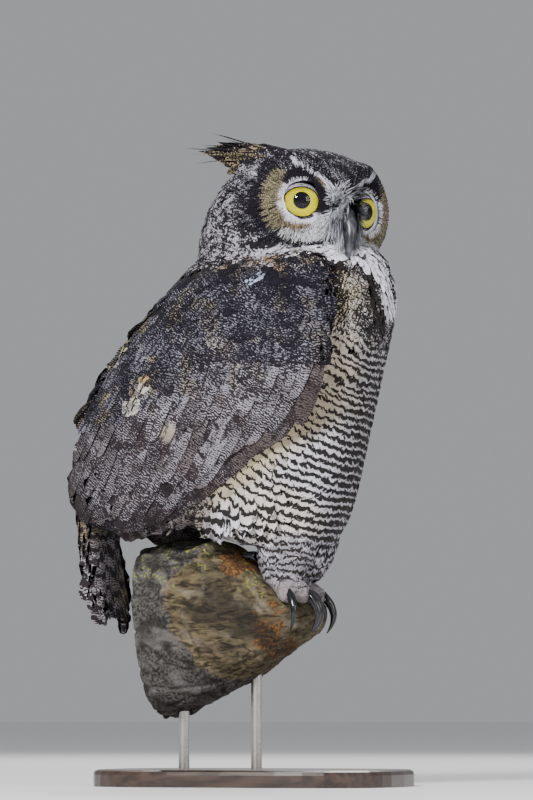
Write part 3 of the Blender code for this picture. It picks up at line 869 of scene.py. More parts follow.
# The face's colours with the ink between their fine lines.
DISC_BUFF, DISC_INK = (0.225, 0.195, 0.125), (0.042, 0.036, 0.024)
LORE, LORE_INK = (0.50, 0.51, 0.57), (0.05, 0.05, 0.055)
CHEEK_WHITE, CHEEK_INK = (0.52, 0.53, 0.57), (0.07, 0.075, 0.065)
BROW_WHITE, BROW_INK = (0.60, 0.60, 0.68), (0.05, 0.05, 0.06)
RING_WHITE, RING_INK = (0.62, 0.60, 0.70), (0.06, 0.055, 0.065)
# Millimetres out from the eye's middle, and up: the brow's line, the temple's patch, the gape.
BROW_FROM, BROW_TO, TEMPLE, GAPE = (-38.0, 5.0), (6.0, 34.0), (40, 22), (4, -23)
# Millimetres from the eye's middle over which each part ends or begins.
RING_ENDS, DISC_ENDS, RIM_BEGINS, RIM_ENDS = (21.5, 18.5), (38, 35), (35.0, 37.5), (45.5, 42.0)
LID_BEGINS, LID_ENDS, INNER_ENDS = (17.8, 19.4), (26.5, 24.5), (22.0, 19.5)
FACING = (-16, -4)  # millimetres ahead of the eyes' middles where the face turns into the crown


def in_head(places):
    """Millimetres ahead of, left of and above the middle of the head."""
    return (places - head_middle) @ head_axes.T / MM


def round_eye(places):
    """Millimetres from the nearer eye's middle: outwards, up and ahead along its gaze."""
    local = in_head(places)
    side = np.sign(local[..., 1])
    x = local[..., 0] - EYES_AHEAD / MM
    y = np.abs(local[..., 1]) - eye_apart / MM
    out = -x * math.sin(GAZE_SPLAY) + y * math.cos(GAZE_SPLAY)
    ahead = x * math.cos(GAZE_SPLAY) + y * math.sin(GAZE_SPLAY)
    return out, local[..., 2], ahead, side


def head_marks(places):
    local = in_head(places)
    out, up, ahead, _ = round_eye(places)
    radius, turn = np.hypot(out, up), np.degrees(np.arctan2(up, out))
    turn = np.where(turn < -120, turn + 360, turn)
    front = smoothstep(*FACING, ahead)
    noisy = mottle(places, 0.006, 21)
    line = np.array(BROW_TO) - np.array(BROW_FROM)
    line /= np.hypot(*line)
    over_brow = (up - BROW_FROM[1]) * line[0] - (out - BROW_FROM[0]) * line[1] + noisy
    over_brow += smoothstep(20, 40, up) * 2

    back = smoothstep(12, -22, local[..., 0]) * smoothstep(44, 22, local[..., 2])
    ground = blended(FLECK, NAPE_PALE, back)
    cover = 0.16 + 0.18 * back + 0.18 * mottle(places, 0.009, 22)
    ink = blended(BLACK, NAPE_INK, back)
    streak = 0.32 - 0.2 * back

    def lay(share, colour, new_cover, new_ink=BLACK, new_streak=0.0):
        nonlocal ground, cover, ink, streak
        ground, ink = blended(ground, colour, share), blended(ink, new_ink, share)
        cover, streak = nearing(cover, new_cover, share), nearing(streak, new_streak, share)

    patch = smoothstep(9, 5, np.hypot(out - TEMPLE[0], up - TEMPLE[1]) + noisy)
    lay(patch * front, TEMPLE_PALE, 0.60)
    disc = smoothstep(*DISC_ENDS, radius + noisy) * front * smoothstep(3, -1, over_brow)
    disc = disc * smoothstep(27, 23, up + noisy)
    lay(disc, DISC_BUFF, 0.62, DISC_INK, 0.2)
    lore = disc * smoothstep(-11, -17, out + 0.25 * up)
    lay(lore, LORE, 0.74, LORE_INK, 0.1)
    cheek = disc * smoothstep(-22, -28, up + 0.15 * out + noisy)
    lay(cheek, CHEEK_WHITE, 0.76, CHEEK_INK)
    smudge = disc * smoothstep(8, 4, np.hypot(out - GAPE[0], (up - GAPE[1]) * 1.4))
    lay(0.8 * smudge, GAPE_RUST, 0.66, DISC_INK)
    rim = smoothstep(*RIM_BEGINS, radius + noisy) * smoothstep(*RIM_ENDS, radius + noisy)
    rim = rim * smoothstep(-72, -56, turn) * smoothstep(58, 40, turn)
    lay(rim * front, RIM_BLACK, 0.0)
    brow = smoothstep(-2.6, -1.0, over_brow) * smoothstep(2.6, 1.2, over_brow)
    brow = brow * smoothstep(16, 9, out) * smoothstep(-4, 6, ahead + 12)
    lay(brow, BROW_WHITE, 0.86, BROW_INK)
    ring = smoothstep(*RING_ENDS, radius + noisy) * front
    lay(ring, RING_WHITE, 0.86, RING_INK)
    # Black over the upper lid in a band widened at its top into painted shadow under the brow, and
    # black in each eye's inner corner, cut back round the left eye so that its shaded corner is painted
    # lighter.
    top = smoothstep(34, 46, turn) * smoothstep(130, 108, turn)
    inner = smoothstep(96, 116, turn) * smoothstep(222, 200, turn)
    leftwards = local[..., 1]
    inner = inner * np.where(
        leftwards > 0, smoothstep(15, 19, leftwards), smoothstep(-5, -9, leftwards)
    )
    brow_shadow_widening = 5.0 * np.exp(-(((turn - 76) / 22) ** 2))
    black = top * smoothstep(*LID_BEGINS, radius) * smoothstep(*LID_ENDS, radius - brow_shadow_widening)
    black = np.maximum(black, inner * smoothstep(*INNER_ENDS, radius))
    lay(black * front * (1 - 0.9 * brow), LID_BLACK_AND_SHADE, -0.4)
    chin = smoothstep(-41, -45, local[..., 2]) * smoothstep(6, 20, local[..., 0])
    lay(chin, BROW_WHITE, 0.98)
    return shade(places, ground, ink, 0.0, streak, cover)


BILL_ROOT = np.array((56.0, 0.0, -2.0))  # head millimetres: the head's feathers spread from here


def head_lie(places):
    """Away from the bill over lore and crown, and away from the eye over the facial disc."""
    out, up, ahead, side = round_eye(places)
    from_bill = (in_head(places) - BILL_ROOT) @ head_axes
    outward = np.stack([-np.full_like(out, math.sin(GAZE_SPLAY)), side * math.cos(GAZE_SPLAY)], 1)
    from_eye = out[:, None] * (outward @ head_axes[:2]) + up[:, None] * head_axes[2]
    from_eye = unit(from_eye)
    disc = smoothstep(44, 36, np.hypot(out, up)) * smoothstep(*FACING, ahead)
    disc = disc * smoothstep(-15, -6, out + 0.15 * np.abs(up)) * smoothstep(34, 24, up)
    return blended(unit(from_bill), from_eye, disc)


EYE_HOLE = 16.5  # millimetres round the eye's middle where no feather is rooted


def face_only(places):
    out, up, ahead, _ = round_eye(places)
    in_disc = (np.hypot(out, up) < 47) & (ahead > -14) & (up < 31)
    return in_disc | ((in_head(places)[:, 0] > 34) & (up < 12))


def open_eye(places):
    out, up, _, _ = round_eye(places)
    return np.hypot(out, up * 1.04) > EYE_HOLE


def face_here(places):
    return face_only(places) & open_eye(places)


def near_eye(places):
    out, up, ahead, _ = round_eye(places)
    return face_here(places) & (np.hypot(out, up) < 20.5) & (ahead > 0)


def crown_here(places):
    return ~face_only(places)


def near_bill(places):
    local = in_head(places)
    low = (local[:, 2] > -27) & (local[:, 2] < 12)
    across = np.where(local[:, 2] > -12, 12.0, 15.5)
    return (local[:, 0] > 30) & (np.abs(local[:, 1]) < across) & low


head_vane = plumage("head feather", worm=1.9)
DISC_SPACING, LID_SPACING, BRISTLE_SPACING, CROWN_SPACING = 0.00115, 0.0009, 0.0012, 0.0021
DISC_LENGTHS = ((16, 22, 30), (0.0042, 0.0065, 0.0105))  # millimetres from the eye, and hair there
DISC_HAIR, LID_HAIR = (0.00115, 0.0026), (0.0042, 0.0009, 0.0014)
CROWN_FEATHER, BRISTLE_WIDTH, WHISKER_WIDTH = (0.0095, 0.0036, 0.0030), 0.00095, 0.0009
CROWN_VANE = ((0, 0), (0.35, 0.8), (0.72, 1.0), (0.93, 0.6), (1, 0))
BRISTLE = ((0, 0.3), (0.15, 1.0), (0.45, 0.8), (0.75, 0.5), (1, 0))
disc_roots = scatter(["head"], DISC_SPACING, face_here)
from_eye_by = np.hypot(*round_eye(disc_roots[0])[:2])
hair_length = np.interp(from_eye_by, *DISC_LENGTHS)
disc_hairs = feathered(
    grow(disc_roots, head_lie, hair_length, *DISC_HAIR, HAIR, 0.13, 0.0010, 3),
    head_marks, uneven=0.22, whole=2, patchy=0.17,
)
lid_hairs = feathered(
    grow(scatter(["head"], LID_SPACING, near_eye), head_lie, *LID_HAIR, HAIR, 0.15, 0.0005, 3),
    head_marks, uneven=0.15, whole=1, patchy=0.06,
)
plume("face", [disc_hairs, lid_hairs], head_vane, "plumage_head", lambda p: in_head(p)[:, 1:])

# Stiff bristles fan from round the bill over its base and cheeks, stand in a crest between the eyes,
# and lie down either side of the bill.
bristle_roots, bristle_outs = scatter(["head"], BRISTLE_SPACING, near_bill)
local = in_head(bristle_roots)
spread = unit((local - (52, 0, -4)) * (0.35, 1.0, 1.0))
forward = np.array((1.0, 0.0, 0.0))
crest = smoothstep(-16, -6, local[:, 2]) * smoothstep(14.0, 9.0, np.abs(local[:, 1]))
bristle_length = 0.0135 + 0.0020 * crest
start_way = spread * (0.55 - 0.35 * crest)[:, None] + forward * 0.75 + (0, 0, 0.1)
end_way = spread * (1 - 0.5 * crest)[:, None] + forward * (0.10 + 0.6 * crest)[:, None] - (0, 0, 0.5)
bristles = spray(
    bristle_roots - bristle_outs * 0.002, bristle_outs, start_way @ head_axes, end_way @ head_axes,
    bristle_length, BRISTLE_WIDTH, BRISTLE, stray=0.16,
)
feathered(bristles, head_marks, uneven=0.25, whole=0, patchy=0.22)


def beside_bill(count, low, high, near, far, out_from, first, last, length):
    """Whiskers rooted on both flanks of the bill, between two heights and two depths, in head
    millimetres; first and last are the ways they point: ahead, out to the side and up."""
    draw = DRAW.random((count, 3))
    flank = np.where(draw[:, 0] < 0.5, -1.0, 1.0)
    height = low + (high - low) * draw[:, 1]
    apart = flank * (out_from - 0.08 * np.abs(height + 10))
    places = np.stack([near + (far - near) * draw[:, 2], apart, height], 1)

    def mirrored(way):
        return np.stack([way[0] + 0 * flank, way[1] * flank, way[2] + 0 * flank], 1)

    return spray(
        places * MM @ head_axes + head_middle, unit(mirrored((0.25, 1, 0.1))) @ head_axes,
        mirrored(first) @ head_axes, mirrored(last) @ head_axes,
        length, WHISKER_WIDTH, BRISTLE, stray=0.12,
    )


# Each clump's count and the other numbers of beside_bill, in its order.
WHISKERS = (
    (520, -24, -3, 41, 50, 8.2, (0.75, 0.42, -0.35), (0.10, 0.10, -1.0), 0.0165),
    (420, -30, -8, 46, 56, 7.0, (0.45, 0.30, -0.80), (0.05, -0.12, -1.0), 0.0175),
    (300, -12, 5, 46, 55, 4.5, (0.80, 0.10, 0.10), (0.30, 0.40, -1.0), 0.0160),
    (340, -13, 3, 53, 57, 2.6, (0.60, 0.45, 0.15), (0.15, 0.95, -0.70), 0.0135),
)
whiskers = [beside_bill(*numbers) for numbers in WHISKERS]


# The whiskers' dusky colour, also the painted shade over the right nostril.
WHISKER_DUSK_AND_SHADE, NOSTRIL_PATCH = (0.09, 0.09, 0.11), (51, -14)


def whisker_marks(places):
    """Greyish white mottled dusky: darker over the nostril on the right, partly dusky whiskers and
    partly painted shade, and less dusky on the left, painted light on that shaded side.
    """
    local = in_head(places)
    nostril = np.hypot(local[..., 0] - NOSTRIL_PATCH[0], local[..., 2] - NOSTRIL_PATCH[1])
    far = smoothstep(-1, 1, local[..., 1])
    nostril_shade = smoothstep(9, 4, nostril) * (1 - far)
    dark = smoothstep(-0.1, 0.8, mottle(places, 0.004, 25) + nostril_shade - 0.3 * far)
    return shade(places, blended(LORE, WHISKER_DUSK_AND_SHADE, dark), BLACK, cover=1.2)


for batch in whiskers:
    feathered(batch, whisker_marks, uneven=0.35, whole=1)
plume("bristles", [bristles] + whiskers, head_vane, "plumage_head", lambda p: in_head(p)[:, 1:])
crown_vane = plumage("crown feather", worm=3.6)
crown_roots = scatter(["head"], CROWN_SPACING, crown_here)
crown = feathered(
    grow(crown_roots, head_lie, *CROWN_FEATHER, CROWN_VANE, 0.13, 0.0003),
    head_marks, uneven=0.25, whole=3, patchy=0.20, camber=0.05,
)
plume("crown", [crown], crown_vane, "plumage_head", lambda p: in_head(p) @ ((1, 0), (0, 1), (0.3, 0.3)))

# ---------------------------------------------------------------- ear tufts
# Each tuft is a fan of long, soft black feathers laid back from the brow, with mottled buff vanes among
# them, loose wisps over the top and a short buff lobe below.
EAR = "ear_tuft_"
TUFT_VANE = ((0, 0.4), (0.2, 0.7), (0.45, 1.0), (0.7, 0.9), (0.9, 0.5), (1, 0))
WISP = ((0, 0.5), (0.3, 1.0), (0.6, 0.8), (0.85, 0.5), (1, 0))
TUFT_BUFF, TUFT_GREY = (0.24, 0.195, 0.11), (0.34, 0.30, 0.29)
TUFT_FEATHER, TUFT_SPACING = (0.016, 0.0052, 0.003), 0.0034


def tuft_frame(node):
    """The tuft's root and tip, and the ways up and outwards across it."""
    reach = owner_tris[owner_names.index(node)].reshape(-1, 3)
    tip = reach[np.argmax(np.linalg.norm(reach - eyes_between, axis=1))]
    way = unit(tip - reach.mean(0))
    along = reach @ way
    root = reach[along < np.quantile(along, 0.25)].mean(0)
    up = unit(head_axes[2] - way * (head_axes[2] @ way))
    out = unit(np.cross(way, up))
    return root, tip, up, out * np.sign(out @ (root - head_middle))


def tuft_marks(node):
    root, tip, up, _ = tuft_frame(node)

    def marks(places):
        high = (places - root) @ up / MM
        along = (places - root) @ (tip - root) / ((tip - root) @ (tip - root))
        buff = smoothstep(0.0, 0.7, mottle(places * (1, 1, 2), 0.010, 31) - 0.07 * high - 0.2)
        cover = 0.10 + 0.42 * buff * smoothstep(1.05, 0.7, along)
        ground = blended(TUFT_BUFF, TUFT_GREY, smoothstep(0, 8, high))
        return shade(places, ground, BLACK, 0.0, 0.3, cover)

    return marks


# Each clump of the fan: how far up its root and its tip are, in millimetres, and its reach along it.
TUFT_CLUMPS = (
    (-1.5, 3.5, 0.62), (-3.0, 2.0, 0.84), (-4.0, -1.0, 1.00), (-5.0, -4.0, 0.86),
    (-7.0, -7.5, 0.74), (-9.0, -11.5, 0.60), (-10.5, -15.0, 0.48),
)
# A clump's vanes and its wisps: how many, their width and profile, faces round the girth, and straying.
TUFT_KINDS = ((7, 0.0044, TUFT_VANE, 4, 0.05), (24, 0.0010, WISP, 3, 0.08))
tufts = []
for side in SIDES:
    node = EAR + side
    root, tip, up, out = tuft_frame(node)
    axis = tip - root
    under = grow(
        scatter([node], TUFT_SPACING, lambda p: (p - root) @ axis / (axis @ axis) < 0.50),
        lambda p: np.tile(axis, (len(p), 1)), *TUFT_FEATHER, TUFT_VANE, 0.18, 0.0010,
    )
    tufts.append(feathered(under, tuft_marks(node), uneven=0.3, patchy=0.25, whole=2))
    for root_up, tip_up, reach in TUFT_CLUMPS:
        for count, width, profile, sides, stray in TUFT_KINDS:
            face = np.where(DRAW.random(count) < 0.5, -1.0, 1.0)[:, None]
            rise = (root_up + DRAW.uniform(-1.6, 1.6, (count, 1))) * MM
            starts = root - axis * 0.04 + up * rise + out * face * 0.0032
            ends = root + axis * reach * 0.97 + up * (tip_up + DRAW.uniform(-1, 1, (count, 1))) * MM
            aim = unit(ends - starts)
            size = np.linalg.norm(ends - starts, axis=1)
            size = size * DRAW.uniform(0.75, 0.98, count)
            bend = up * 0.07
            clump = spray(
                starts, out * face, aim + bend, aim - bend, size, width, profile, sides, stray,
            )
            feathered(clump, tuft_marks(node), uneven=0.35, patchy=0.25, whole=2, camber=0.12)
            tufts.append(clump)
plume("ear_tufts", tufts, crown_vane, "plumage_head", lambda p: in_head(p)[:, :2])

# ---------------------------------------------------------------- nape and throat
# Speckled grey-white feathers wrap the neck from ear to ear, and meet a white throat in front.
neck_low, neck_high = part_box("neck")
neck_middle = np.array((neck_low + neck_high) / 2)
NAPE_WAY = np.array((-0.42, 0.0, -1.0))
NAPE_FEATHER, NAPE_SPACING, NAPE_SHOWS = (0.0135, 0.0045, 0.0052), 0.0026, 0.006
THROAT_WHITE, CHIN_WHITE, LOW_NAPE = (0.54, 0.53, 0.60), (0.74, 0.73, 0.81), (0.40, 0.37, 0.38)
COLLAR_BUFF, COLLAR_GREY, JAW_INK = (0.24, 0.175, 0.115), (0.42, 0.40, 0.42), (0.016, 0.014, 0.018)
# Millimetres below the eyes: the dark line of the jaw, the white throat's band, and the collar.
JAW_BAND, THROAT_BAND = ((36.5, 37.5), (41.5, 40.0)), ((40.5, 42.5), (49.0, 45.5))
COLLAR_BEGINS = (46.0, 49.5)


def nape_lie(places):
    outwards = (places - neck_middle) * (1, 1, 0)
    return NAPE_WAY + 0.25 * unit(outwards)


def nape_marks(places):
    local = in_head(places)
    front = smoothstep(-2, 16, local[..., 0])
    noisy = mottle(places, 0.012, 41)
    low = smoothstep(0.445, 0.425, places[..., 2])
    ground = blended(NAPE_PALE, LOW_NAPE, low)
    cover = 0.42 + 0.14 * noisy - 0.14 * low
    drop = -local[..., 2] - 3.0 * smoothstep(44, 20, local[..., 0]) + 0.8 * noisy
    throat, jaw = (
        smoothstep(*begins, drop) * smoothstep(*ends, drop) * front
        for begins, ends in (THROAT_BAND, JAW_BAND)
    )
    ground, cover = blended(ground, THROAT_WHITE, throat), nearing(cover, 0.84, throat)
    collar = smoothstep(*COLLAR_BEGINS, drop) * front
    collar_ground = blended(COLLAR_BUFF, COLLAR_GREY, smoothstep(-0.4, 0.4, noisy))
    ground, cover = blended(ground, collar_ground, collar), nearing(cover, 0.50 + 0.4 * noisy, collar)
    ahead = smoothstep(44, 51, local[..., 0])
    ground, cover = blended(ground, CHIN_WHITE, ahead), nearing(cover, 1.15, ahead)
    cover = cover - jaw * (1 - ahead)
    return shade(places, ground, JAW_INK, 0.0, 0.1 * (1 - front), cover)


nape_roots = scatter(["neck"], NAPE_SPACING, None, NAPE_SHOWS)
nape = feathered(
    grow(nape_roots, nape_lie, *NAPE_FEATHER, CROWN_VANE, 0.12, 0.0008),
    nape_marks, uneven=0.20, whole=3, patchy=0.17, camber=0.05,
)
plume("nape", [nape], crown_vane, "plumage_head", round_axis(neck_middle, (0, 0, 1)))

# ---------------------------------------------------------------- wings
# The folded wing is shingled with coverts that grow larger from the shoulder back, each finely
# vermiculated in pale grey on blue-black. Rows of long barred quills come out from under them: greater
# coverts over secondaries, and browner primaries along the lower edge.
WING_GREY, WING_PALE = (0.175, 0.170, 0.208), (0.35, 0.34, 0.39)
WING_INK, QUILL_INK = (0.008, 0.007, 0.012), (0.022, 0.016, 0.019)
QUILL_GREY, QUILL_BROWN, QUILL_BLOTCH = (0.30, 0.29, 0.33), (0.105, 0.083, 0.080), (0.10, 0.080, 0.072)
WING_BUFF = (0.25, 0.205, 0.12)
MANTLE_BUFF, MANTLE_GREY = (0.24, 0.165, 0.095), (0.40, 0.38, 0.39)
# Side view x and z, radius, colour: the shoulder's pale spots and the white edge at the wrist.
WING_SPOTS = (
    (-0.073, 0.336, 0.0075, (0.38, 0.29, 0.13)),
    (-0.080, 0.319, 0.0085, (0.52, 0.49, 0.42)),
    (-0.053, 0.288, 0.0070, (0.30, 0.27, 0.16)),
    (-0.108, 0.362, 0.0085, (0.40, 0.35, 0.22)),
    (0.024, 0.412, 0.0065, (0.30, 0.35, 0.47)),
    (0.078, 0.312, 0.0040, (0.75, 0.72, 0.76)),
)
# Places in side view, x and z: the middle of the dusky shoulder, its size, and a smudge by the collar.
DUSK, DUSK_SIZE, SMUDGE = (0.045, 0.378), (0.045, 0.042), (0.054, 0.440)
COVERT_LINE = ((-0.118, -0.06, 0.02, 0.078), (0.318, 0.330, 0.345, 0.365))  # side view x and z
COVERT = ((0, 0), (0.25, 0.66), (0.55, 1.0), (0.82, 0.95), (0.96, 0.58), (1, 0))
QUILL = (
    (0, 0), (0.06, 0.5), (0.22, 0.82), (0.42, 1.0), (0.62, 1.0),
    (0.80, 0.95), (0.91, 0.80), (0.975, 0.46), (1, 0),
)
LESSER_COVERT, MEDIAN_COVERT = (0.020, 0.0115, 0.0042), (0.029, 0.0160, 0.0045)
EDGE_COVERT, COVERT_PITCH, EDGE_PITCH = (0.026, 0.012, 0.0015), 9.0, 15  # pitches in millimetres
LESSER_SPACING, MEDIAN_SPACING, EDGE_SPACING, LESSER_SHOWS = 0.0042, 0.0056, 0.007, 0.006
SLOPE_STEP = 0.012
wing_rear = side_edge("wing_right", min)


def wing_share(places):
    """How far across the wing a place is: 0 at the front and lower edge, 1 at the rear and upper."""
    front, rear = wing_front(places[..., 2]), wing_rear(places[..., 2])
    return np.clip((front - places[..., 0]) / (front - rear + 0.01), 0, 1)


def wing_lie(places):
    """Along the wing's outline, from shoulder to tip."""
    z = places[:, 2]
    ways = []
    for edge in (wing_front, wing_rear):
        slope = (edge(z + SLOPE_STEP) - edge(z - SLOPE_STEP)) / (2 * SLOPE_STEP)
        way = np.stack([-np.clip(slope, 0.0, 2.5), np.zeros_like(z), -np.ones_like(z)], 1)
        ways.append(unit(way))
    return blended(ways[0], ways[1], 0.25 + 0.6 * wing_share(places))


def wing_marks(places):
    x, z = places[..., 0], places[..., 2]
    share = wing_share(places)
    dusk = np.exp(-((x - DUSK[0]) / DUSK_SIZE[0]) ** 2 - ((z - DUSK[1]) / DUSK_SIZE[1]) ** 2)
    top = smoothstep(0.375, 0.425, z)
    low = smoothstep(0.372, 0.300, z + 0.008 * mottle(places, 0.02, 49)) * smoothstep(0.85, 0.35, share)
    ground = blended(WING_GREY, WING_PALE, np.clip(low + 0.25 * mottle(places, 0.03, 51), 0, 1))
    warm = 0.45 + 0.45 * smoothstep(0.35, 0.75, share)
    warm = smoothstep(0.15, 0.8, mottle(places, 0.024, 52)) * warm
    ground = blended(ground, WING_BUFF, warm)
    cover = 0.33 - 0.07 * dusk - 0.12 * top + 0.18 * low + 0.17 * mottle(places, 0.018, 53)
    collar = smoothstep(0.416, 0.432, z + 0.004 * mottle(places, 0.012, 56))
    collar = collar * smoothstep(-0.01, 0.03, x)
    greyer = smoothstep(-0.3, 0.5, mottle(places, 0.014, 57))
    ground = blended(ground, blended(MANTLE_BUFF, MANTLE_GREY, greyer), collar)
    cover = nearing(cover, 0.42 + 0.30 * mottle(places, 0.011, 58), collar)
    smudge = smoothstep(0.016, 0.010, np.hypot(x - SMUDGE[0], (z - SMUDGE[1]) * 1.6))
    cover = cover - 0.5 * smudge
    for spot_x, spot_z, radius, colour in WING_SPOTS:
        lean = (x - spot_x) - 0.7 * (z - spot_z)
        near = np.hypot(lean * 1.5, (z - spot_z) * 0.8) / radius
        spot = smoothstep(1.35, 0.60, near + 0.25 * mottle(places, 0.005, 54))
        ground, cover = blended(ground, colour, spot), nearing(cover, 0.95, spot)
    bars = 0.30 * low + 0.15
    return shade(places, ground, blended(WING_INK, QUILL_INK, low), bars, 0.42 - 0.2 * low, cover)


def barred(batch, marks_of, pitch, **more):
    """Markings with bars across each feather, that many millimetres apart from its tip back."""
    feathered(batch, marks_of, uneven=0.18, **more)
    shares = np.array([share for share, _ in batch["profile"]])
    from_tip = (shares[None] - 1) * batch["length"][:, None] / MM
    batch["marks"]["phase"] = from_tip / pitch + DRAW.normal(0, 0.12, (len(batch["root"]), 1))
    return batch


def quill_marks(tint, cover, bars, streak=0.0):
    """A quill's markings, from grey to brown by the tint, with the wing's pale spots over them."""
    def marks(places):
        x, z = places[..., 0], places[..., 2]
        brown = tint + 0.5 * mottle(places, 0.025, 55) + 0.4 * smoothstep(-0.10, -0.15, x)
        ground = blended(QUILL_GREY, QUILL_BROWN, np.clip(brown, 0, 1))
        blotch = smoothstep(0.45, 0.75, mottle(places * (1, 1, 1.3), 0.009, 59))
        ground = blended(ground, QUILL_BLOTCH, 0.7 * blotch)
        for_spot = wing_marks(places)
        spot = smoothstep(0.75, 0.95, for_spot["cover"])
        ground = blended(ground, for_spot["ground"], spot)
        dim = 0.10 * smoothstep(-0.05, -0.13, x) + 0.14 * smoothstep(0.255, 0.220, z)
        uneven = (0.20 * mottle(places, 0.013, 50) - dim) * (1 - spot)
        return shade(places, ground, QUILL_INK, bars, streak, cover + spot + uneven)

    return marks


def on_line(line, shares):
    """Places in side view at shares of the way along a line of x and z points."""
    line = np.array(line)
    stops = np.linspace(0, 1, len(line))
    return np.stack([np.interp(shares, stops, line[:, 0]), np.interp(shares, stops, line[:, 1])], 1)


def from_side(flat, side):
    """The plumage's outer surface at places in side view, and the way out of it."""
    places, outs = [], []
    for x, z in flat:
        hit, _, face, _ = outer.ray_cast(Vector((x, side * 0.2, z)), Vector((0, -side, 0)))
        if hit is None:
            hit, _, face, _ = outer.find_nearest(Vector((x, side * 0.05, z)))
        places.append(hit)
        outs.append(face_out[face])
    return np.array(places), np.array(outs)


QUILL_ARC, QUILL_TURN = 1.06, 0.09  # a quill's curve against its chord, and its turn about its length


def row(side, root_line, tip_line, count, width, depth, lift):
    """A row of quills on one wing, in side view from its line of roots to its line of tips. Each is
    turned a little about its length, so that it overlaps the next."""
    shares = np.linspace(0, 1, count)
    places, outs = from_side(on_line(root_line, shares), side)
    ends, _ = from_side(on_line(tip_line, shares), side)
    length = np.linalg.norm(ends - places, axis=1) / QUILL_ARC
    batch = grow((places, outs), lambda _: ends - places, length, width, depth, QUILL, 0.012, lift)
    turned = np.cross(batch["ahead"], batch["out"]) * side
    batch["out"] = unit(batch["out"] - turned * QUILL_TURN)
    return batch


def over_quills(places, margin):
    """Above the line, in side view, where the wing's quills come out from under the coverts."""
    return places[:, 2] > np.interp(places[:, 0], *COVERT_LINE) + margin


def shoulder_here(places):
    """Where the small coverts lie, over the shoulder and down the wing's front."""
    near = (places[:, 2] > 0.358) & (wing_share(places) < 0.75)
    return near & over_quills(places, -0.004)


def behind_shoulder(places):
    return ((places[:, 2] <= 0.362) | (wing_share(places) >= 0.72)) & over_quills(places, 0.002)


# Rows of quills, lowest layer first: the lines of their roots and of their tips, then their count,
# width and depth, then their markings' tint, cover, bars and shaft streak, and the bars' spacing in
# millimetres.
WING_ROWS = (
    (
        ((0.085, 0.350), (0.055, 0.314), (0.030, 0.292)),
        ((0.052, 0.291), (0.012, 0.261), (-0.028, 0.235)),
        (9, 0.0145, 0.0030), (1.0, 0.38, 0.3, 0.0), 15.0,
    ),
    (
        ((0.030, 0.287), (-0.01, 0.266), (-0.05, 0.256)),
        ((-0.032, 0.235), (-0.070, 0.214), (-0.116, 0.206)),
        (11, 0.0145, 0.0026), (0.6, 0.46, 0.5, 0.55), 16.0,
    ),
    (
        ((0.010, 0.292), (-0.040, 0.272), (-0.090, 0.262), (-0.120, 0.262)),
        ((-0.030, 0.243), (-0.078, 0.222), (-0.125, 0.214), (-0.147, 0.222)),
        (11, 0.0190, 0.0026), (0.25, 0.45, 0.6, 0.2), 15.0,
    ),
    (
        ((0.068, 0.340), (0.0, 0.314), (-0.070, 0.300), (-0.125, 0.290)),
        ((0.030, 0.284), (-0.040, 0.250), (-0.100, 0.235), (-0.1515, 0.245)),
        (17, 0.0200, 0.0022), (0.12, 0.42, 0.55, 0.15), 14.0,
    ),
    (
        ((0.078, 0.368), (0.02, 0.348), (-0.06, 0.332), (-0.118, 0.320)),
        ((0.058, 0.318), (-0.005, 0.293), (-0.085, 0.274), (-0.150, 0.266)),
        (20, 0.0180, 0.0020), (0.02, 0.38, 0.5, 0.15), 12.0,
    ),
)
ROW_LIFT, LAYER_LIFT = 0.0006, 0.0003  # how far the lowest row stands off, and each further one
wing_vane = plumage("wing feather", worm=2.1, one_sided=True)
for side, sign in SIDES.items():
    node = "wing_" + side
    small = scatter([node], LESSER_SPACING, shoulder_here, LESSER_SHOWS)
    large = scatter([node], MEDIAN_SPACING, behind_shoulder)
    lesser = grow(small, wing_lie, *LESSER_COVERT, COVERT, 0.13, 0.0010)
    median = grow(large, wing_lie, *MEDIAN_COVERT, COVERT, 0.11, 0.0012)
    for batch in (lesser, median):
        barred(batch, wing_marks, COVERT_PITCH, whole=3, patchy=0.09, camber=0.05)
    quills = []
    for layer, (roots, tips, sizes, marks, pitch) in enumerate(WING_ROWS):
        quill = row(sign, roots, tips, *sizes, LAYER_LIFT * layer + ROW_LIFT)
        quills.append(barred(quill, quill_marks(*marks), pitch, patchy=0.07, camber=0.04))
    strip = scatter(["primaries_" + side], EDGE_SPACING, lambda p: p[:, 2] > 0.226)
    edge = grow(strip, wing_lie, *EDGE_COVERT, COVERT, 0.06)
    barred(edge, quill_marks(0.8, 0.6, 0.4), EDGE_PITCH)
    plume(
        node + "_feathers", [lesser, median, edge] + quills, wing_vane, "plumage_back",
        lambda p: p[:, ::2] + 0.35 * p[:, 1:2] * (1, 0),
    )

# ---------------------------------------------------------------- back, rump and tail
# Coverts like the wing's run down the back between the wings, over the broad barred tail feathers.
MANTLE_COVERT, RUMP_COVERT = (0.029, 0.0160, 0.0042), (0.032, 0.0150, 0.003)
RUMP_SPACING, RUMP_WAY = 0.0075, (-0.03, 0.0, -1.0)
back = scatter(["trunk"], MEDIAN_SPACING, lambda p: ~in_front(p))
mantle = barred(
    grow(back, wing_lie, *MANTLE_COVERT, COVERT, 0.09, 0.0008),
    wing_marks, COVERT_PITCH, whole=3, patchy=0.09, camber=0.06,
)
plume("mantle", [mantle], wing_vane, "plumage_back", lambda p: p[:, 1:])

tail_vane = plumage("tail feather", worm=2.3)
tail_over, tail_under = side_edge("tail", min), side_edge("tail", max)
tail_low, tail_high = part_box("tail")
TAIL_HALF, TAIL_NARROW = 0.034, 0.012  # half the spread of the feathers' middles, at tip and root
TAIL_WIDTH, TAIL_ROUNDING = 0.0185, 0.010  # a feather's width; how much shorter the outermost is
TAIL_GREY, TAIL_BUFF, TAIL_PITCH, RUMP_PITCH = (0.33, 0.31, 0.34), (0.30, 0.24, 0.16), 17.0, 12.0


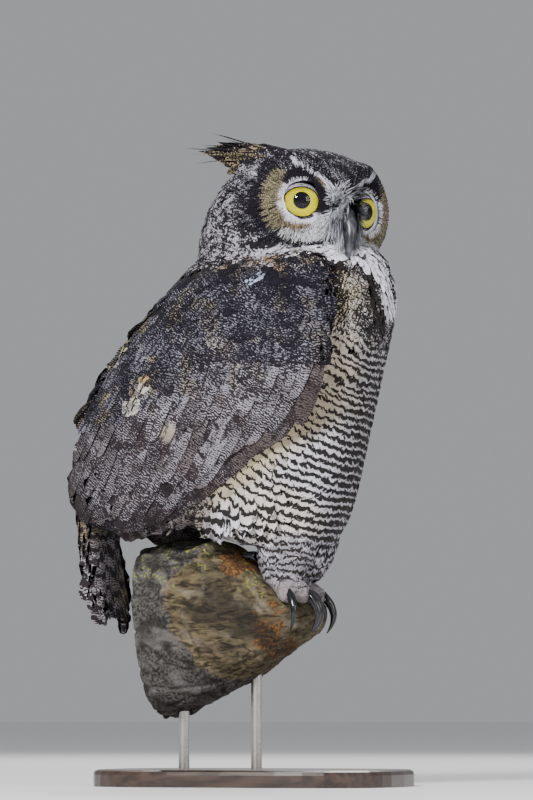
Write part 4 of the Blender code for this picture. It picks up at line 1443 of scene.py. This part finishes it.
def tail_marks(places):
    ground = blended(TAIL_GREY, TAIL_BUFF, smoothstep(-0.3, 0.7, mottle(places, 0.03, 61)))
    return shade(places, ground, QUILL_INK, 0.9, 0.0, 0.56)


def tail_row(face, facing, count, first_z, length, inset):
    """A fan of broad tail feathers down one face, the middle ones on top."""
    share = np.linspace(-1, 1, count)
    stops = np.array([stop for stop, _ in QUILL])
    size = length - TAIL_ROUNDING * share**2
    z = first_z - size[:, None] * stops
    y = share[:, None] * (TAIL_NARROW + (TAIL_HALF - TAIL_NARROW) * stops)
    x = face(z) + facing * (0.0008 - (inset * np.abs(share))[:, None] - 0.003 * (1 - stops) ** 2)
    mid = np.stack([x, y, z], 2)
    ahead = unit(np.gradient(mid, axis=1))
    out = np.stack([0 * y + facing, 0.25 * y / TAIL_HALF, 0 * y], 2)
    out = across_from(out, ahead)
    return {
        "root": mid[:, 0], "mid": mid, "out": out, "ahead": ahead, "length": size,
        "width": np.full(count, TAIL_WIDTH), "profile": QUILL, "sides": 4, "seed": DRAW.random(count),
    }


def rump_here(places):
    """Over the tail's root, and further down along its sides."""
    beside = (np.abs(places[:, 1]) > 0.030) & (places[:, 2] > 0.16)
    return (places[:, 2] > 0.232) | beside


tail_top, tail_bottom = tail_high.z - 0.035, tail_low.z + 0.001
under_top = tail_top - 0.05
over = tail_row(tail_over, -1, 11, tail_top, tail_top - tail_bottom, 0.0032)
under = tail_row(tail_under, 1, 9, under_top, under_top - tail_bottom, 0.0020)
rump = scatter(["tail"], RUMP_SPACING, rump_here)
coverts = grow(rump, lambda p: np.tile(RUMP_WAY, (len(p), 1)), *RUMP_COVERT, COVERT, 0.05)
for batch, pitch in ((over, TAIL_PITCH), (under, TAIL_PITCH), (coverts, RUMP_PITCH)):
    barred(batch, tail_marks, pitch, camber=0.05)
round_tail = round_axis((-0.11, 0, 0.3), (0.1, 0, 1))
plume("tail_feathers", [over, under, coverts], tail_vane, "plumage_back", round_tail)

# ---------------------------------------------------------------- hide's markings and lids
# The hide carries the same markings as the plumage over it, and a bare lid with a black edge rims
# each eye.
LID_ACROSS, LID_TOP, LID_BOTTOM = 14.3, 10.2, 13.3  # the opening's half width and its reach up and down
# A lid's rings: millimetres out from its edge, and up off the surface of the eye.
LID_STOPS = ((0.0, -2.0), (0.1, 0.2), (0.9, 0.6), (1.3, 0.7), (4.4, 0.4), (6.0, -1.4))
EYE_REACH = ((9.0, 10.2, 13.3, 14.4), (19.05, 18.85, 18.2, 17.9))  # the eye's surface off its centre
LID_SEGMENTS, LID_EDGE = 72, 2  # rings up to this one are the lid's black edge
HIDE_BLACK, LID_PALE, LID_COVER = (0.02, 0.018, 0.022), (0.40, 0.38, 0.44), 0.62
eye_frames = {}
for side, sign in SIDES.items():
    outward = head_y * sign * math.cos(GAZE_SPLAY) - head_x * math.sin(GAZE_SPLAY)
    gaze = head_x * math.cos(GAZE_SPLAY) + head_y * sign * math.sin(GAZE_SPLAY)
    turned = Matrix((outward, head_z, gaze)).transposed().to_4x4()
    eye_frames[side] = Matrix.Translation(eye_middles[side]) @ turned @ Matrix.Scale(MM, 4)

lidded = bmesh.new()
lidded.from_mesh(skin.data)
for place in eye_frames.values():
    rings = []
    for k in range(LID_SEGMENTS):
        angle = math.tau * k / LID_SEGMENTS
        height = LID_TOP if math.sin(angle) > 0 else LID_BOTTOM
        edge = Vector((math.cos(angle) * LID_ACROSS, math.sin(angle) * height, 0))
        ring = []
        for out_by, over_eye in LID_STOPS:
            flat = edge * (1 + out_by / edge.length)
            off_centre = float(np.interp(flat.length, *EYE_REACH)) + over_eye
            deep = math.sqrt(max(off_centre**2 - flat.length_squared, 1))
            ring.append(lidded.verts.new(place @ Vector((flat.x, flat.y, deep))))
        rings.append(ring)
    inward = place.determinant() < 0
    for k, ring in enumerate(rings):
        after = rings[(k + 1) % LID_SEGMENTS]
        for j in range(len(ring) - 1):
            corners = [ring[j], ring[j + 1], after[j + 1], after[j]]
            lidded.faces.new(corners[::-1] if inward else corners)
lidded.to_mesh(skin.data)
lidded.free()

every_place = coordinates(skin.data)
marks_by_node = {"head": head_marks, "neck": nape_marks, "trunk": breast_marks, "tail": tail_marks}
for side in SIDES:
    marks_by_node["wing_" + side] = wing_marks
    marks_by_node["primaries_" + side] = quill_marks(1.0, 0.5, 0.7)
    marks_by_node["leg_" + side] = marks_by_node["foot_" + side] = leg_marks
    marks_by_node[EAR + side] = tuft_marks(EAR + side)
skin_marks = shade(every_place, HIDE_BLACK, cover=0.0)
for number, node in enumerate(owner_names):
    chosen = np.flatnonzero(skin_owner == number)
    for key, value in marks_by_node[node](every_place[chosen]).items():
        skin_marks[key][chosen] = value
hide_count = len(skin_owner)  # the lids' points come after the hide's
of_trunk = skin_owner == owner_names.index("trunk")
on_back = np.flatnonzero(of_trunk & ~in_front(every_place)[:hide_count])
for key, value in wing_marks(every_place[on_back]).items():
    skin_marks[key][on_back] = value
pale_ring = np.arange(len(every_place) - hide_count) % len(LID_STOPS) > LID_EDGE
skin_marks["ground"][hide_count:] = blended(HIDE_BLACK, LID_PALE, pale_ring)
skin_marks["cover"][hide_count:] = pale_ring * LID_COVER
nothing = 0 * skin_marks["phase"]
skin_values = {
    "ground": skin_marks["ground"],
    "ink": skin_marks["ink"],
    "mark": np.stack([skin_marks[key] for key in ("bars", "streak", "cover")], 1),
    "vane": every_place / MM,
    "cut": np.stack([skin_marks["phase"], nothing, nothing], 1),
}
for key, values in skin_values.items():
    add_vectors(skin.data, key, values)
skin.data.materials.clear()
skin.data.materials.append(plumage("hide", worm=2.4))
skin.data.shade_smooth()

# ---------------------------------------------------------------- eyes
# Each eye is an opaque ball with a flat yellow iris round a deep pupil, under a clear cornea that is
# full down to the iris. Both are turned shapes.
# Radii, then places along the gaze from the eye's middle, in millimetres.
IRIS, PUPIL, CORNEA_RIM, BALL = 14.1, 6.0, 14.4, 17.5
IRIS_AT, RIM_AT, APEX_AT = 10.8, 10.6, 19.5
PUPIL_DEEP, PUPIL_LIP, RIM_DEEP, CORNEA_BACK = 0.6, 0.2, 0.15, ((13.8, 9.0), (0, 7.0))
EYE_STEPS, PROFILE_STEPS = 72, 14
YELLOW, BRIGHT_YELLOW = (0.96, 0.80, 0.0), (1.0, 0.94, 0.0)
IRIS_RIM, IRIS_ROOT = (0.60, 0.36, 0.002), (0.55, 0.40, 0.01)
PUPIL_BLACK, EYE_BLACK = (0.002, 0.002, 0.010), (0.010, 0.008, 0.010)
CLEAR, CLEAREST = (0.98, 0.98, 0.98), (1, 1, 1)


def turned_shape(profile, name, place, material):
    """A closed shape spun from radius and height pairs round the gaze."""
    made = bmesh.new()
    verts = [made.verts.new((radius, 0, height)) for radius, height in profile]
    for first, second in zip(verts, verts[1:]):
        made.edges.new((first, second))
    bmesh.ops.spin(
        made, geom=made.verts[:] + made.edges[:], cent=(0, 0, 0), axis=(0, 0, 1),
        angle=math.tau, steps=EYE_STEPS, use_merge=True,
    )
    bmesh.ops.remove_doubles(made, verts=made.verts, dist=0.001)
    local = np.array([vert.co[:] for vert in made.verts])
    bmesh.ops.transform(made, matrix=place, verts=made.verts)
    bmesh.ops.recalc_face_normals(made, faces=made.faces)
    thing = as_object(name, made, material)
    add_vectors(thing.data, "from_gaze", local)
    return thing


wire = Nodes("iris and pupil")
gaze_place = wire.read("from_gaze")
off_x, off_y, _ = wire.parts(gaze_place)
squared = wire.calc("ADD", wire.calc("MULTIPLY", off_x, off_x), wire.calc("MULTIPLY", off_y, off_y))
radius = wire.calc("SQRT", squared)
flat_place = wire.scaled(gaze_place, (1, 1, 0))
spokes = wire.add("ShaderNodeVectorMath", {0: flat_place}, operation="NORMALIZE").outputs[0]
spokes = wire.calc("MULTIPLY_ADD", wire.field(spokes, 22, 3), 0.6, 0.2)
rough_radius = wire.calc("MULTIPLY_ADD", spokes, 0.35, radius)
yellow = wire.mix(wire.ramp(spokes, 0.35, 0.62), YELLOW, BRIGHT_YELLOW)
yellow = wire.mix(wire.ramp(rough_radius, 12.2, 13.9, 0, 0.55), yellow, IRIS_RIM)
yellow = wire.mix(wire.ramp(rough_radius, 7.4, 6.3, 0, 0.35), yellow, IRIS_ROOT)
eye_colour = wire.mix(wire.ramp(rough_radius, 6.25, 6.5), PUPIL_BLACK, yellow)
eye_colour = wire.mix(wire.ramp(radius, IRIS - 0.35, IRIS), eye_colour, EYE_BLACK)
wire.bump(spokes, 0.3, 0.0003)
iris_material = wire.finish(eye_colour, 0.5, Specular_IOR_Level=0.05)

wire = Nodes("cornea")
clear = wire.mix(wire.field(wire.place(), 60), CLEAR, CLEAREST)
cornea_material = wire.finish(clear, 0.0, Transmission_Weight=1.0, IOR=1.376, Specular_IOR_Level=0.3)

steps = [k / PROFILE_STEPS for k in range(PROFILE_STEPS + 1)]
dome_radius = (CORNEA_RIM**2 + (APEX_AT - RIM_AT) ** 2) / (2 * (APEX_AT - RIM_AT))
dome_half = math.asin(CORNEA_RIM / dome_radius)
dome = [
    (dome_radius * math.sin(dome_half * s), APEX_AT - dome_radius * (1 - math.cos(dome_half * s)))
    for s in steps
]
ball_from = math.asin((IRIS + 0.25) / BALL)
ball_turns = [ball_from + (math.pi - ball_from) * s for s in steps]
ball = [(BALL * math.sin(turn), BALL * math.cos(turn)) for turn in ball_turns]
pupil_floor, iris_root = IRIS_AT - PUPIL_DEEP, IRIS_AT - RIM_DEEP
iris_from, iris_across = PUPIL + PUPIL_LIP, IRIS - PUPIL - 2 * PUPIL_LIP
iris_profile = [(0, pupil_floor), (PUPIL - PUPIL_LIP, pupil_floor), (iris_from, iris_root)]
iris_profile += [(iris_from + iris_across * s, iris_root + RIM_DEEP * s) for s in steps[1:]]
for side, place in eye_frames.items():
    eyeball = turned_shape(iris_profile + ball, "eyeball_" + side, place, iris_material)
    cornea = turned_shape([*dome, *CORNEA_BACK], "cornea_" + side, place, cornea_material)
    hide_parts("eye_" + side)
    for piece in (eyeball, cornea):
        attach(piece, "root")

# ---------------------------------------------------------------- bill and claws
# Horn over bone: the hooked bill has a swollen cere with nostrils and dark horn clouded paler in
# patches, and each claw is a polished black sickle.
HORN_PIT, BILL_DARK, BILL_WORN = (0.02, 0.018, 0.02), (0.020, 0.020, 0.028), (0.11, 0.11, 0.135)
CLAW_BLACK, CLAW_WORN = (0.004, 0.004, 0.006), (0.020, 0.019, 0.024)


def horn(name, dark, pale, pale_share, gloss):
    """Cloudy horn with a fine grain along it."""
    wire = Nodes(name)
    place = wire.place()
    cloud = wire.field(place, 160, 4)
    grain = wire.field(wire.scaled(place, (1, 1, 0.15)), 1500, 3, 0.4)
    colour = wire.mix(wire.ramp(cloud, 0.42, 0.70, 0, pale_share), dark, pale)
    colour = wire.mix(wire.ramp(grain, 0.35, 0.75, 0, 0.3), colour, HORN_PIT)
    wire.bump(wire.calc("MULTIPLY_ADD", grain, 0.35, cloud), 0.25, 0.0003)
    roughness = wire.ramp(cloud, 0.3, 0.7, gloss, gloss + 0.15)
    return wire.finish(colour, roughness, Coat_Weight=0.2, Coat_Roughness=0.15)


def rounded(node, name, material, grown, levels=2):
    """A smooth piece made from a merged copy of the node's solid, and standing in for it."""
    piece = as_object(name, welded(node, grown), material)
    smooth = piece.modifiers.new("smooth", "SUBSURF")
    smooth.levels = smooth.render_levels = levels
    settled(piece)
    piece.data.shade_smooth()
    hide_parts(node)
    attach(piece, "root")
    return piece


BILL_GROWN, CLAW_GROWN = 0.0003, 0.0004  # what smoothing takes off a solid, given back first
NOSTRIL = np.array((51.0, 5.6, -11.5))  # head millimetres, on the left; the right mirrors it
NOSTRIL_SIZE, NOSTRIL_DEEP = (2.2, 1, 1.3), 1.1
RIDGE_HALF, RIDGE_HIGH = 1.6, 0.35  # the ridge down the bill's middle
bill_horn = horn("bill horn", BILL_DARK, BILL_WORN, 0.7, 0.26)
for half in ("upper", "lower"):
    piece = rounded("bill_" + half, "bill_" + half + "_horn", bill_horn, BILL_GROWN)
    points = coordinates(piece.data)
    local = in_head(points)
    if half == "upper":
        reach = np.linalg.norm((local - NOSTRIL) * (1, 0, 1) / NOSTRIL_SIZE, axis=1)
        on_flank = np.sign(local[:, 1]) * (np.abs(local[:, 1]) > 3)
        dent = np.exp(-(reach**2)) * NOSTRIL_DEEP * on_flank
        points = points - dent[:, None] * head_axes[1] * MM
        ridge = np.exp(-((local[:, 1] / RIDGE_HALF) ** 2)) * smoothstep(44, 56, local[:, 0])
        points = points + ridge[:, None] * RIDGE_HIGH * head_axes[0] * MM
    move_points(piece.data, points)

claw_horn = horn("claw horn", CLAW_BLACK, CLAW_WORN, 0.5, 0.12)
CLAW_SWELL, CLAW_BOW = 0.0007, 0.0022  # how much it thickens to its root and bows between its ends
for side in SIDES:
    for toe in ("inner", "middle", "outer", "hind"):
        claw = rounded(f"claw_{side}_{toe}", f"talon_{side}_{toe}", claw_horn, CLAW_GROWN)
        points, normals = coordinates(claw.data), normals_of(claw.data)
        low, high = points[:, 2].min(), points[:, 2].max()
        share = (points[:, 2:] - low) / (high - low)
        bow = np.array((-CLAW_BOW if toe == "hind" else CLAW_BOW, 0, 0))
        points = points + normals * CLAW_SWELL * share + bow * 4 * share * (1 - share)
        move_points(claw.data, points)

# ---------------------------------------------------------------- limb
# A short cut length of a dead, broken limb: furrowed grey-brown bark with lichen on top and behind,
# worn through to bare orange-brown wood towards the splintered end in front.
LIMB_GROWN, LIMB_VOXEL, LIMB_ROUNDS = 0.0006, 0.0024, 6
LIMB_WAY = Vector((0.80, 0.0, -0.45)).normalized()  # along the limb, towards its broken end
GRIP = (0.016, 0.040)  # the bark's relief comes in between these distances from a foot's middle
RELIEF_MOST = 1.2  # millimetres
BARK_DARK, BARK_GREY, BARK_PALE = (0.012, 0.012, 0.012), (0.092, 0.085, 0.077), (0.15, 0.14, 0.135)
WOOD_DARK, WOOD_BROWN, WOOD_PALE = (0.022, 0.017, 0.009), (0.135, 0.105, 0.058), (0.21, 0.185, 0.14)
ROT_DARK, ROT_ORANGE, LIP_BROWN = (0.05, 0.024, 0.010), (0.20, 0.095, 0.030), (0.13, 0.088, 0.070)
# The lichen's colour, and the near black of painted shade deep in the bark's furrows.
LICHEN, FURROW_SHADE = (0.30, 0.33, 0.045), (0.012, 0.010, 0.009)
# Two stained patches in side view: middle x and z, stretch in z, reach, and strength.
STAINS = ((-0.004, 0.190, 1.4, 0.024, 1.0), (0.030, 0.130, 0.7, 0.026, 0.65))

limb = as_object("limb", welded("perch", LIMB_GROWN))
remesh = limb.modifiers.new("even", "REMESH")
remesh.mode = "VOXEL"
remesh.voxel_size = LIMB_VOXEL
settled(limb)
limb_edges = edges_of(limb.data)
limb_points = evened(coordinates(limb.data), limb_edges, LIMB_ROUNDS)
limb_normals = unit(evened(normals_of(limb.data), limb_edges, LIMB_ROUNDS))
feet_at = np.array([tuple(middle) for middle in foot_middles.values()])
gripped = np.linalg.norm(limb_points[:, None] - feet_at[None], axis=2).min(1)
free = smoothstep(*GRIP, gripped)
BREAK_MIDDLE, BREAK_HALF = (0.025, 0.160), (0.086, 0.075)  # the broken face in side view, x and z
from_break = np.hypot(*((limb_points[:, ::2] - BREAK_MIDDLE) / BREAK_HALF).T)
from_break += 0.07 * mottle(limb_points, 0.045, 71) + 0.03 * mottle(limb_points, 0.012, 72)
bare = smoothstep(1.03, 0.95, from_break)
lip = np.exp(-(((from_break - 1.0) / 0.05) ** 2))
relief = np.empty(len(limb_points))
for k, point in enumerate(limb_points.tolist()):
    at = Vector(point)
    along = LIMB_WAY * at.dot(LIMB_WAY)
    bark = at - along * 0.72
    furrow = 1 - abs(noise.noise(bark * 85)) * 2
    plates = noise.noise(bark * 42 + Vector((3, 1, 7)))
    grain = noise.noise(at * 240 - along * 215)
    lumps = noise.fractal(at * 30, 0.8, 2.0, 4)
    rough_bark = -2.4 * max(furrow - 0.55, 0) * 2 + 1.0 * plates
    smooth_wood = 0.8 * grain + 0.4 * noise.noise(at * 500)
    relief[k] = rough_bark * (1 - bare[k]) + (smooth_wood - 1.2) * bare[k] + 1.6 * lumps + 1.2 * lip[k]
relief = np.minimum(relief, RELIEF_MOST) * MM * (0.25 + 0.75 * free)
move_points(limb.data, limb_points + limb_normals * relief[:, None])
# Each point's bare share, its relief in millimetres for the furrows' painted shade, and how far it
# faces up for the lichen.
bare_relief_facing = np.stack([bare, relief / MM, np.clip(limb_normals[:, 2], -1, 1)], 1)
add_vectors(limb.data, "bare_relief_facing", bare_relief_facing)
uneven_rot = 0.008 * mottle(limb_points, 0.022, 73) + 0.004 * mottle(limb_points, 0.007, 74)
rot = np.zeros(len(limb_points))
for stain_x, stain_z, stretch, reach, strength in STAINS:
    off = np.hypot(limb_points[:, 0] - stain_x, (limb_points[:, 2] - stain_z) * stretch)
    rot = np.maximum(rot, strength * smoothstep(reach, 0.004, off + uneven_rot))
add_vectors(limb.data, "stain", np.stack([rot, lip, 0 * rot], 1))

wire = Nodes("weathered limb")
place = wire.place()
bare_share, high, facing_up = wire.parts(wire.read("bare_relief_facing"))
rot_share, lip_share, _ = wire.parts(wire.read("stain"))
patches = wire.field(place, 44, 9, 0.9)
fine = wire.field(place, 420, 5)
streaks = wire.field(wire.scaled(place, (0.45, 1, 1.5)), 170, 8, 1.1)
bark_colour = wire.mix(wire.ramp(fine, 0.30, 0.70), BARK_DARK, BARK_GREY)
bark_colour = wire.mix(wire.ramp(patches, 0.48, 0.66, 0, 0.6), bark_colour, BARK_PALE)
wood_colour = wire.mix(wire.ramp(streaks, 0.34, 0.64), WOOD_DARK, WOOD_BROWN)
wood_colour = wire.mix(wire.ramp(patches, 0.52, 0.68, 0, 0.7), wood_colour, WOOD_PALE)
rotten = wire.mix(wire.ramp(fine, 0.35, 0.65), ROT_DARK, ROT_ORANGE)
rot_share = wire.calc("MULTIPLY_ADD", streaks, 0.8, wire.calc("SUBTRACT", rot_share, 0.4))
wood_colour = wire.mix(wire.ramp(rot_share, 0.35, 0.62), wood_colour, rotten)
edge_share = wire.calc("ADD", bare_share, wire.calc("MULTIPLY_ADD", fine, 0.6, -0.3))
limb_colour = wire.mix(wire.ramp(edge_share, 0.30, 0.75), bark_colour, wood_colour)
lip_share = wire.ramp(lip_share, 0.2, 1.0)
lip_share = wire.calc("MULTIPLY", lip_share, wire.ramp(patches, 0.45, 0.62, 0, 0.4))
limb_colour = wire.mix(lip_share, limb_colour, LIP_BROWN)
lichen = wire.field(place, 260, 6, 0.9)
lichen = wire.calc("MULTIPLY", wire.ramp(lichen, 0.56, 0.62), wire.ramp(patches, 0.50, 0.60))
lichen = wire.calc("MULTIPLY", lichen, wire.ramp(facing_up, 0.0, 0.6))
limb_colour = wire.mix(lichen, limb_colour, LICHEN)
# Painted shade: the colour darkens towards near black where the relief sinks deepest, in the bark's
# furrows.
limb_colour = wire.mix(wire.ramp(high, -0.3, -2.2, 0, 0.75), limb_colour, FURROW_SHADE)
wire.bump(wire.calc("MULTIPLY_ADD", streaks, 0.8, fine), 0.9, 0.0016)
limb.data.materials.append(wire.finish(limb_colour, 0.86, Specular_IOR_Level=0.25))
limb.data.shade_smooth()
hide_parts("perch")
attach(limb, "root")

# ---------------------------------------------------------------- display stand
# A flat hardwood base in dark satin lacquer, with two brushed steel rods screwed into it.
WOOD_GRAIN, WOOD_LIGHT, WOOD_PORE = (0.022, 0.013, 0.010), (0.060, 0.034, 0.022), (0.010, 0.007, 0.006)
STEEL_DARK, STEEL_LIGHT = (0.42, 0.40, 0.37), (0.58, 0.56, 0.53)
wire = Nodes("lacquered hardwood")
place = wire.place()
grain = wire.field(wire.scaled(place, (1, 14, 6)), 26, 5, 0.6)
pores = wire.field(wire.scaled(place, (1, 22, 10)), 240, 3)
colour = wire.mix(wire.ramp(grain, 0.3, 0.7), WOOD_GRAIN, WOOD_LIGHT)
colour = wire.mix(wire.ramp(pores, 0.62, 0.75, 0, 0.6), colour, WOOD_PORE)
wire.bump(pores, 0.12, 0.0003)
satin = wire.ramp(grain, 0.3, 0.7, 0.30, 0.40)
base_lacquer = wire.finish(colour, satin, Coat_Weight=0.4, Coat_Roughness=0.12)

wire = Nodes("brushed steel")
place = wire.place()
brushed = wire.field(wire.scaled(place, (18, 18, 300)), 12, 4)
colour = wire.mix(brushed, STEEL_DARK, STEEL_LIGHT)
wire.bump(brushed, 0.15, 0.0002)
rod_steel = wire.finish(colour, wire.ramp(brushed, 0.3, 0.7, 0.26, 0.40), Metallic=1.0)
wood_and_steel = {
    "stand_base": base_lacquer,
    "stand_rod_back": rod_steel,
    "stand_rod_front": rod_steel,
}
for node, material in wood_and_steel.items():
    for slot in frame["nodes"][node].material_slots:
        slot.material = material

# ---------------------------------------------------------------- floor and light
# A plain pale matt floor, and three broad round lamps: a key on the camera's side, a fill in front of
# the bird and a rim light on its far side, in a pale room.
FLOOR_PALE, FLOOR_RADIUS = (0.90, 0.90, 0.91), 60.0
LAMP_WARMTH, ROOM, ROOM_LIGHT = (1.0, 0.985, 0.97), (0.86, 0.87, 0.90, 1), 0.42
LAMPS_AIM = Vector((0, 0, 0.3))
LAMPS = {  # place, width in metres, and watts
    "key": ((-0.2, -2.5, 1.5), 0.7, 108),
    "fill": ((2.4, -1.0, 1.0), 1.4, 24),
    "rim": ((-0.6, 2.2, 1.9), 1.2, 36),
}
floor_mesh = bmesh.new()
bmesh.ops.create_circle(floor_mesh, cap_ends=True, segments=96, radius=FLOOR_RADIUS)
floor = as_object("floor", floor_mesh, Nodes("pale floor").finish(FLOOR_PALE, 0.95))

for name, (place, size, power) in LAMPS.items():
    lamp = bpy.data.lights.new(name, "AREA")
    lamp.shape = "DISK"
    lamp.size = size
    lamp.energy = power
    lamp.color = LAMP_WARMTH
    thing = bpy.data.objects.new(name, lamp)
    thing.location = place
    thing.rotation_euler = (Vector(place) - LAMPS_AIM).to_track_quat("Z", "Y").to_euler()
    bpy.context.scene.collection.objects.link(thing)
world = bpy.data.worlds.new("studio")
world.use_nodes = True
room = world.node_tree.nodes["Background"].inputs
room["Color"].default_value = ROOM
room["Strength"].default_value = ROOM_LIGHT
bpy.context.scene.world = world
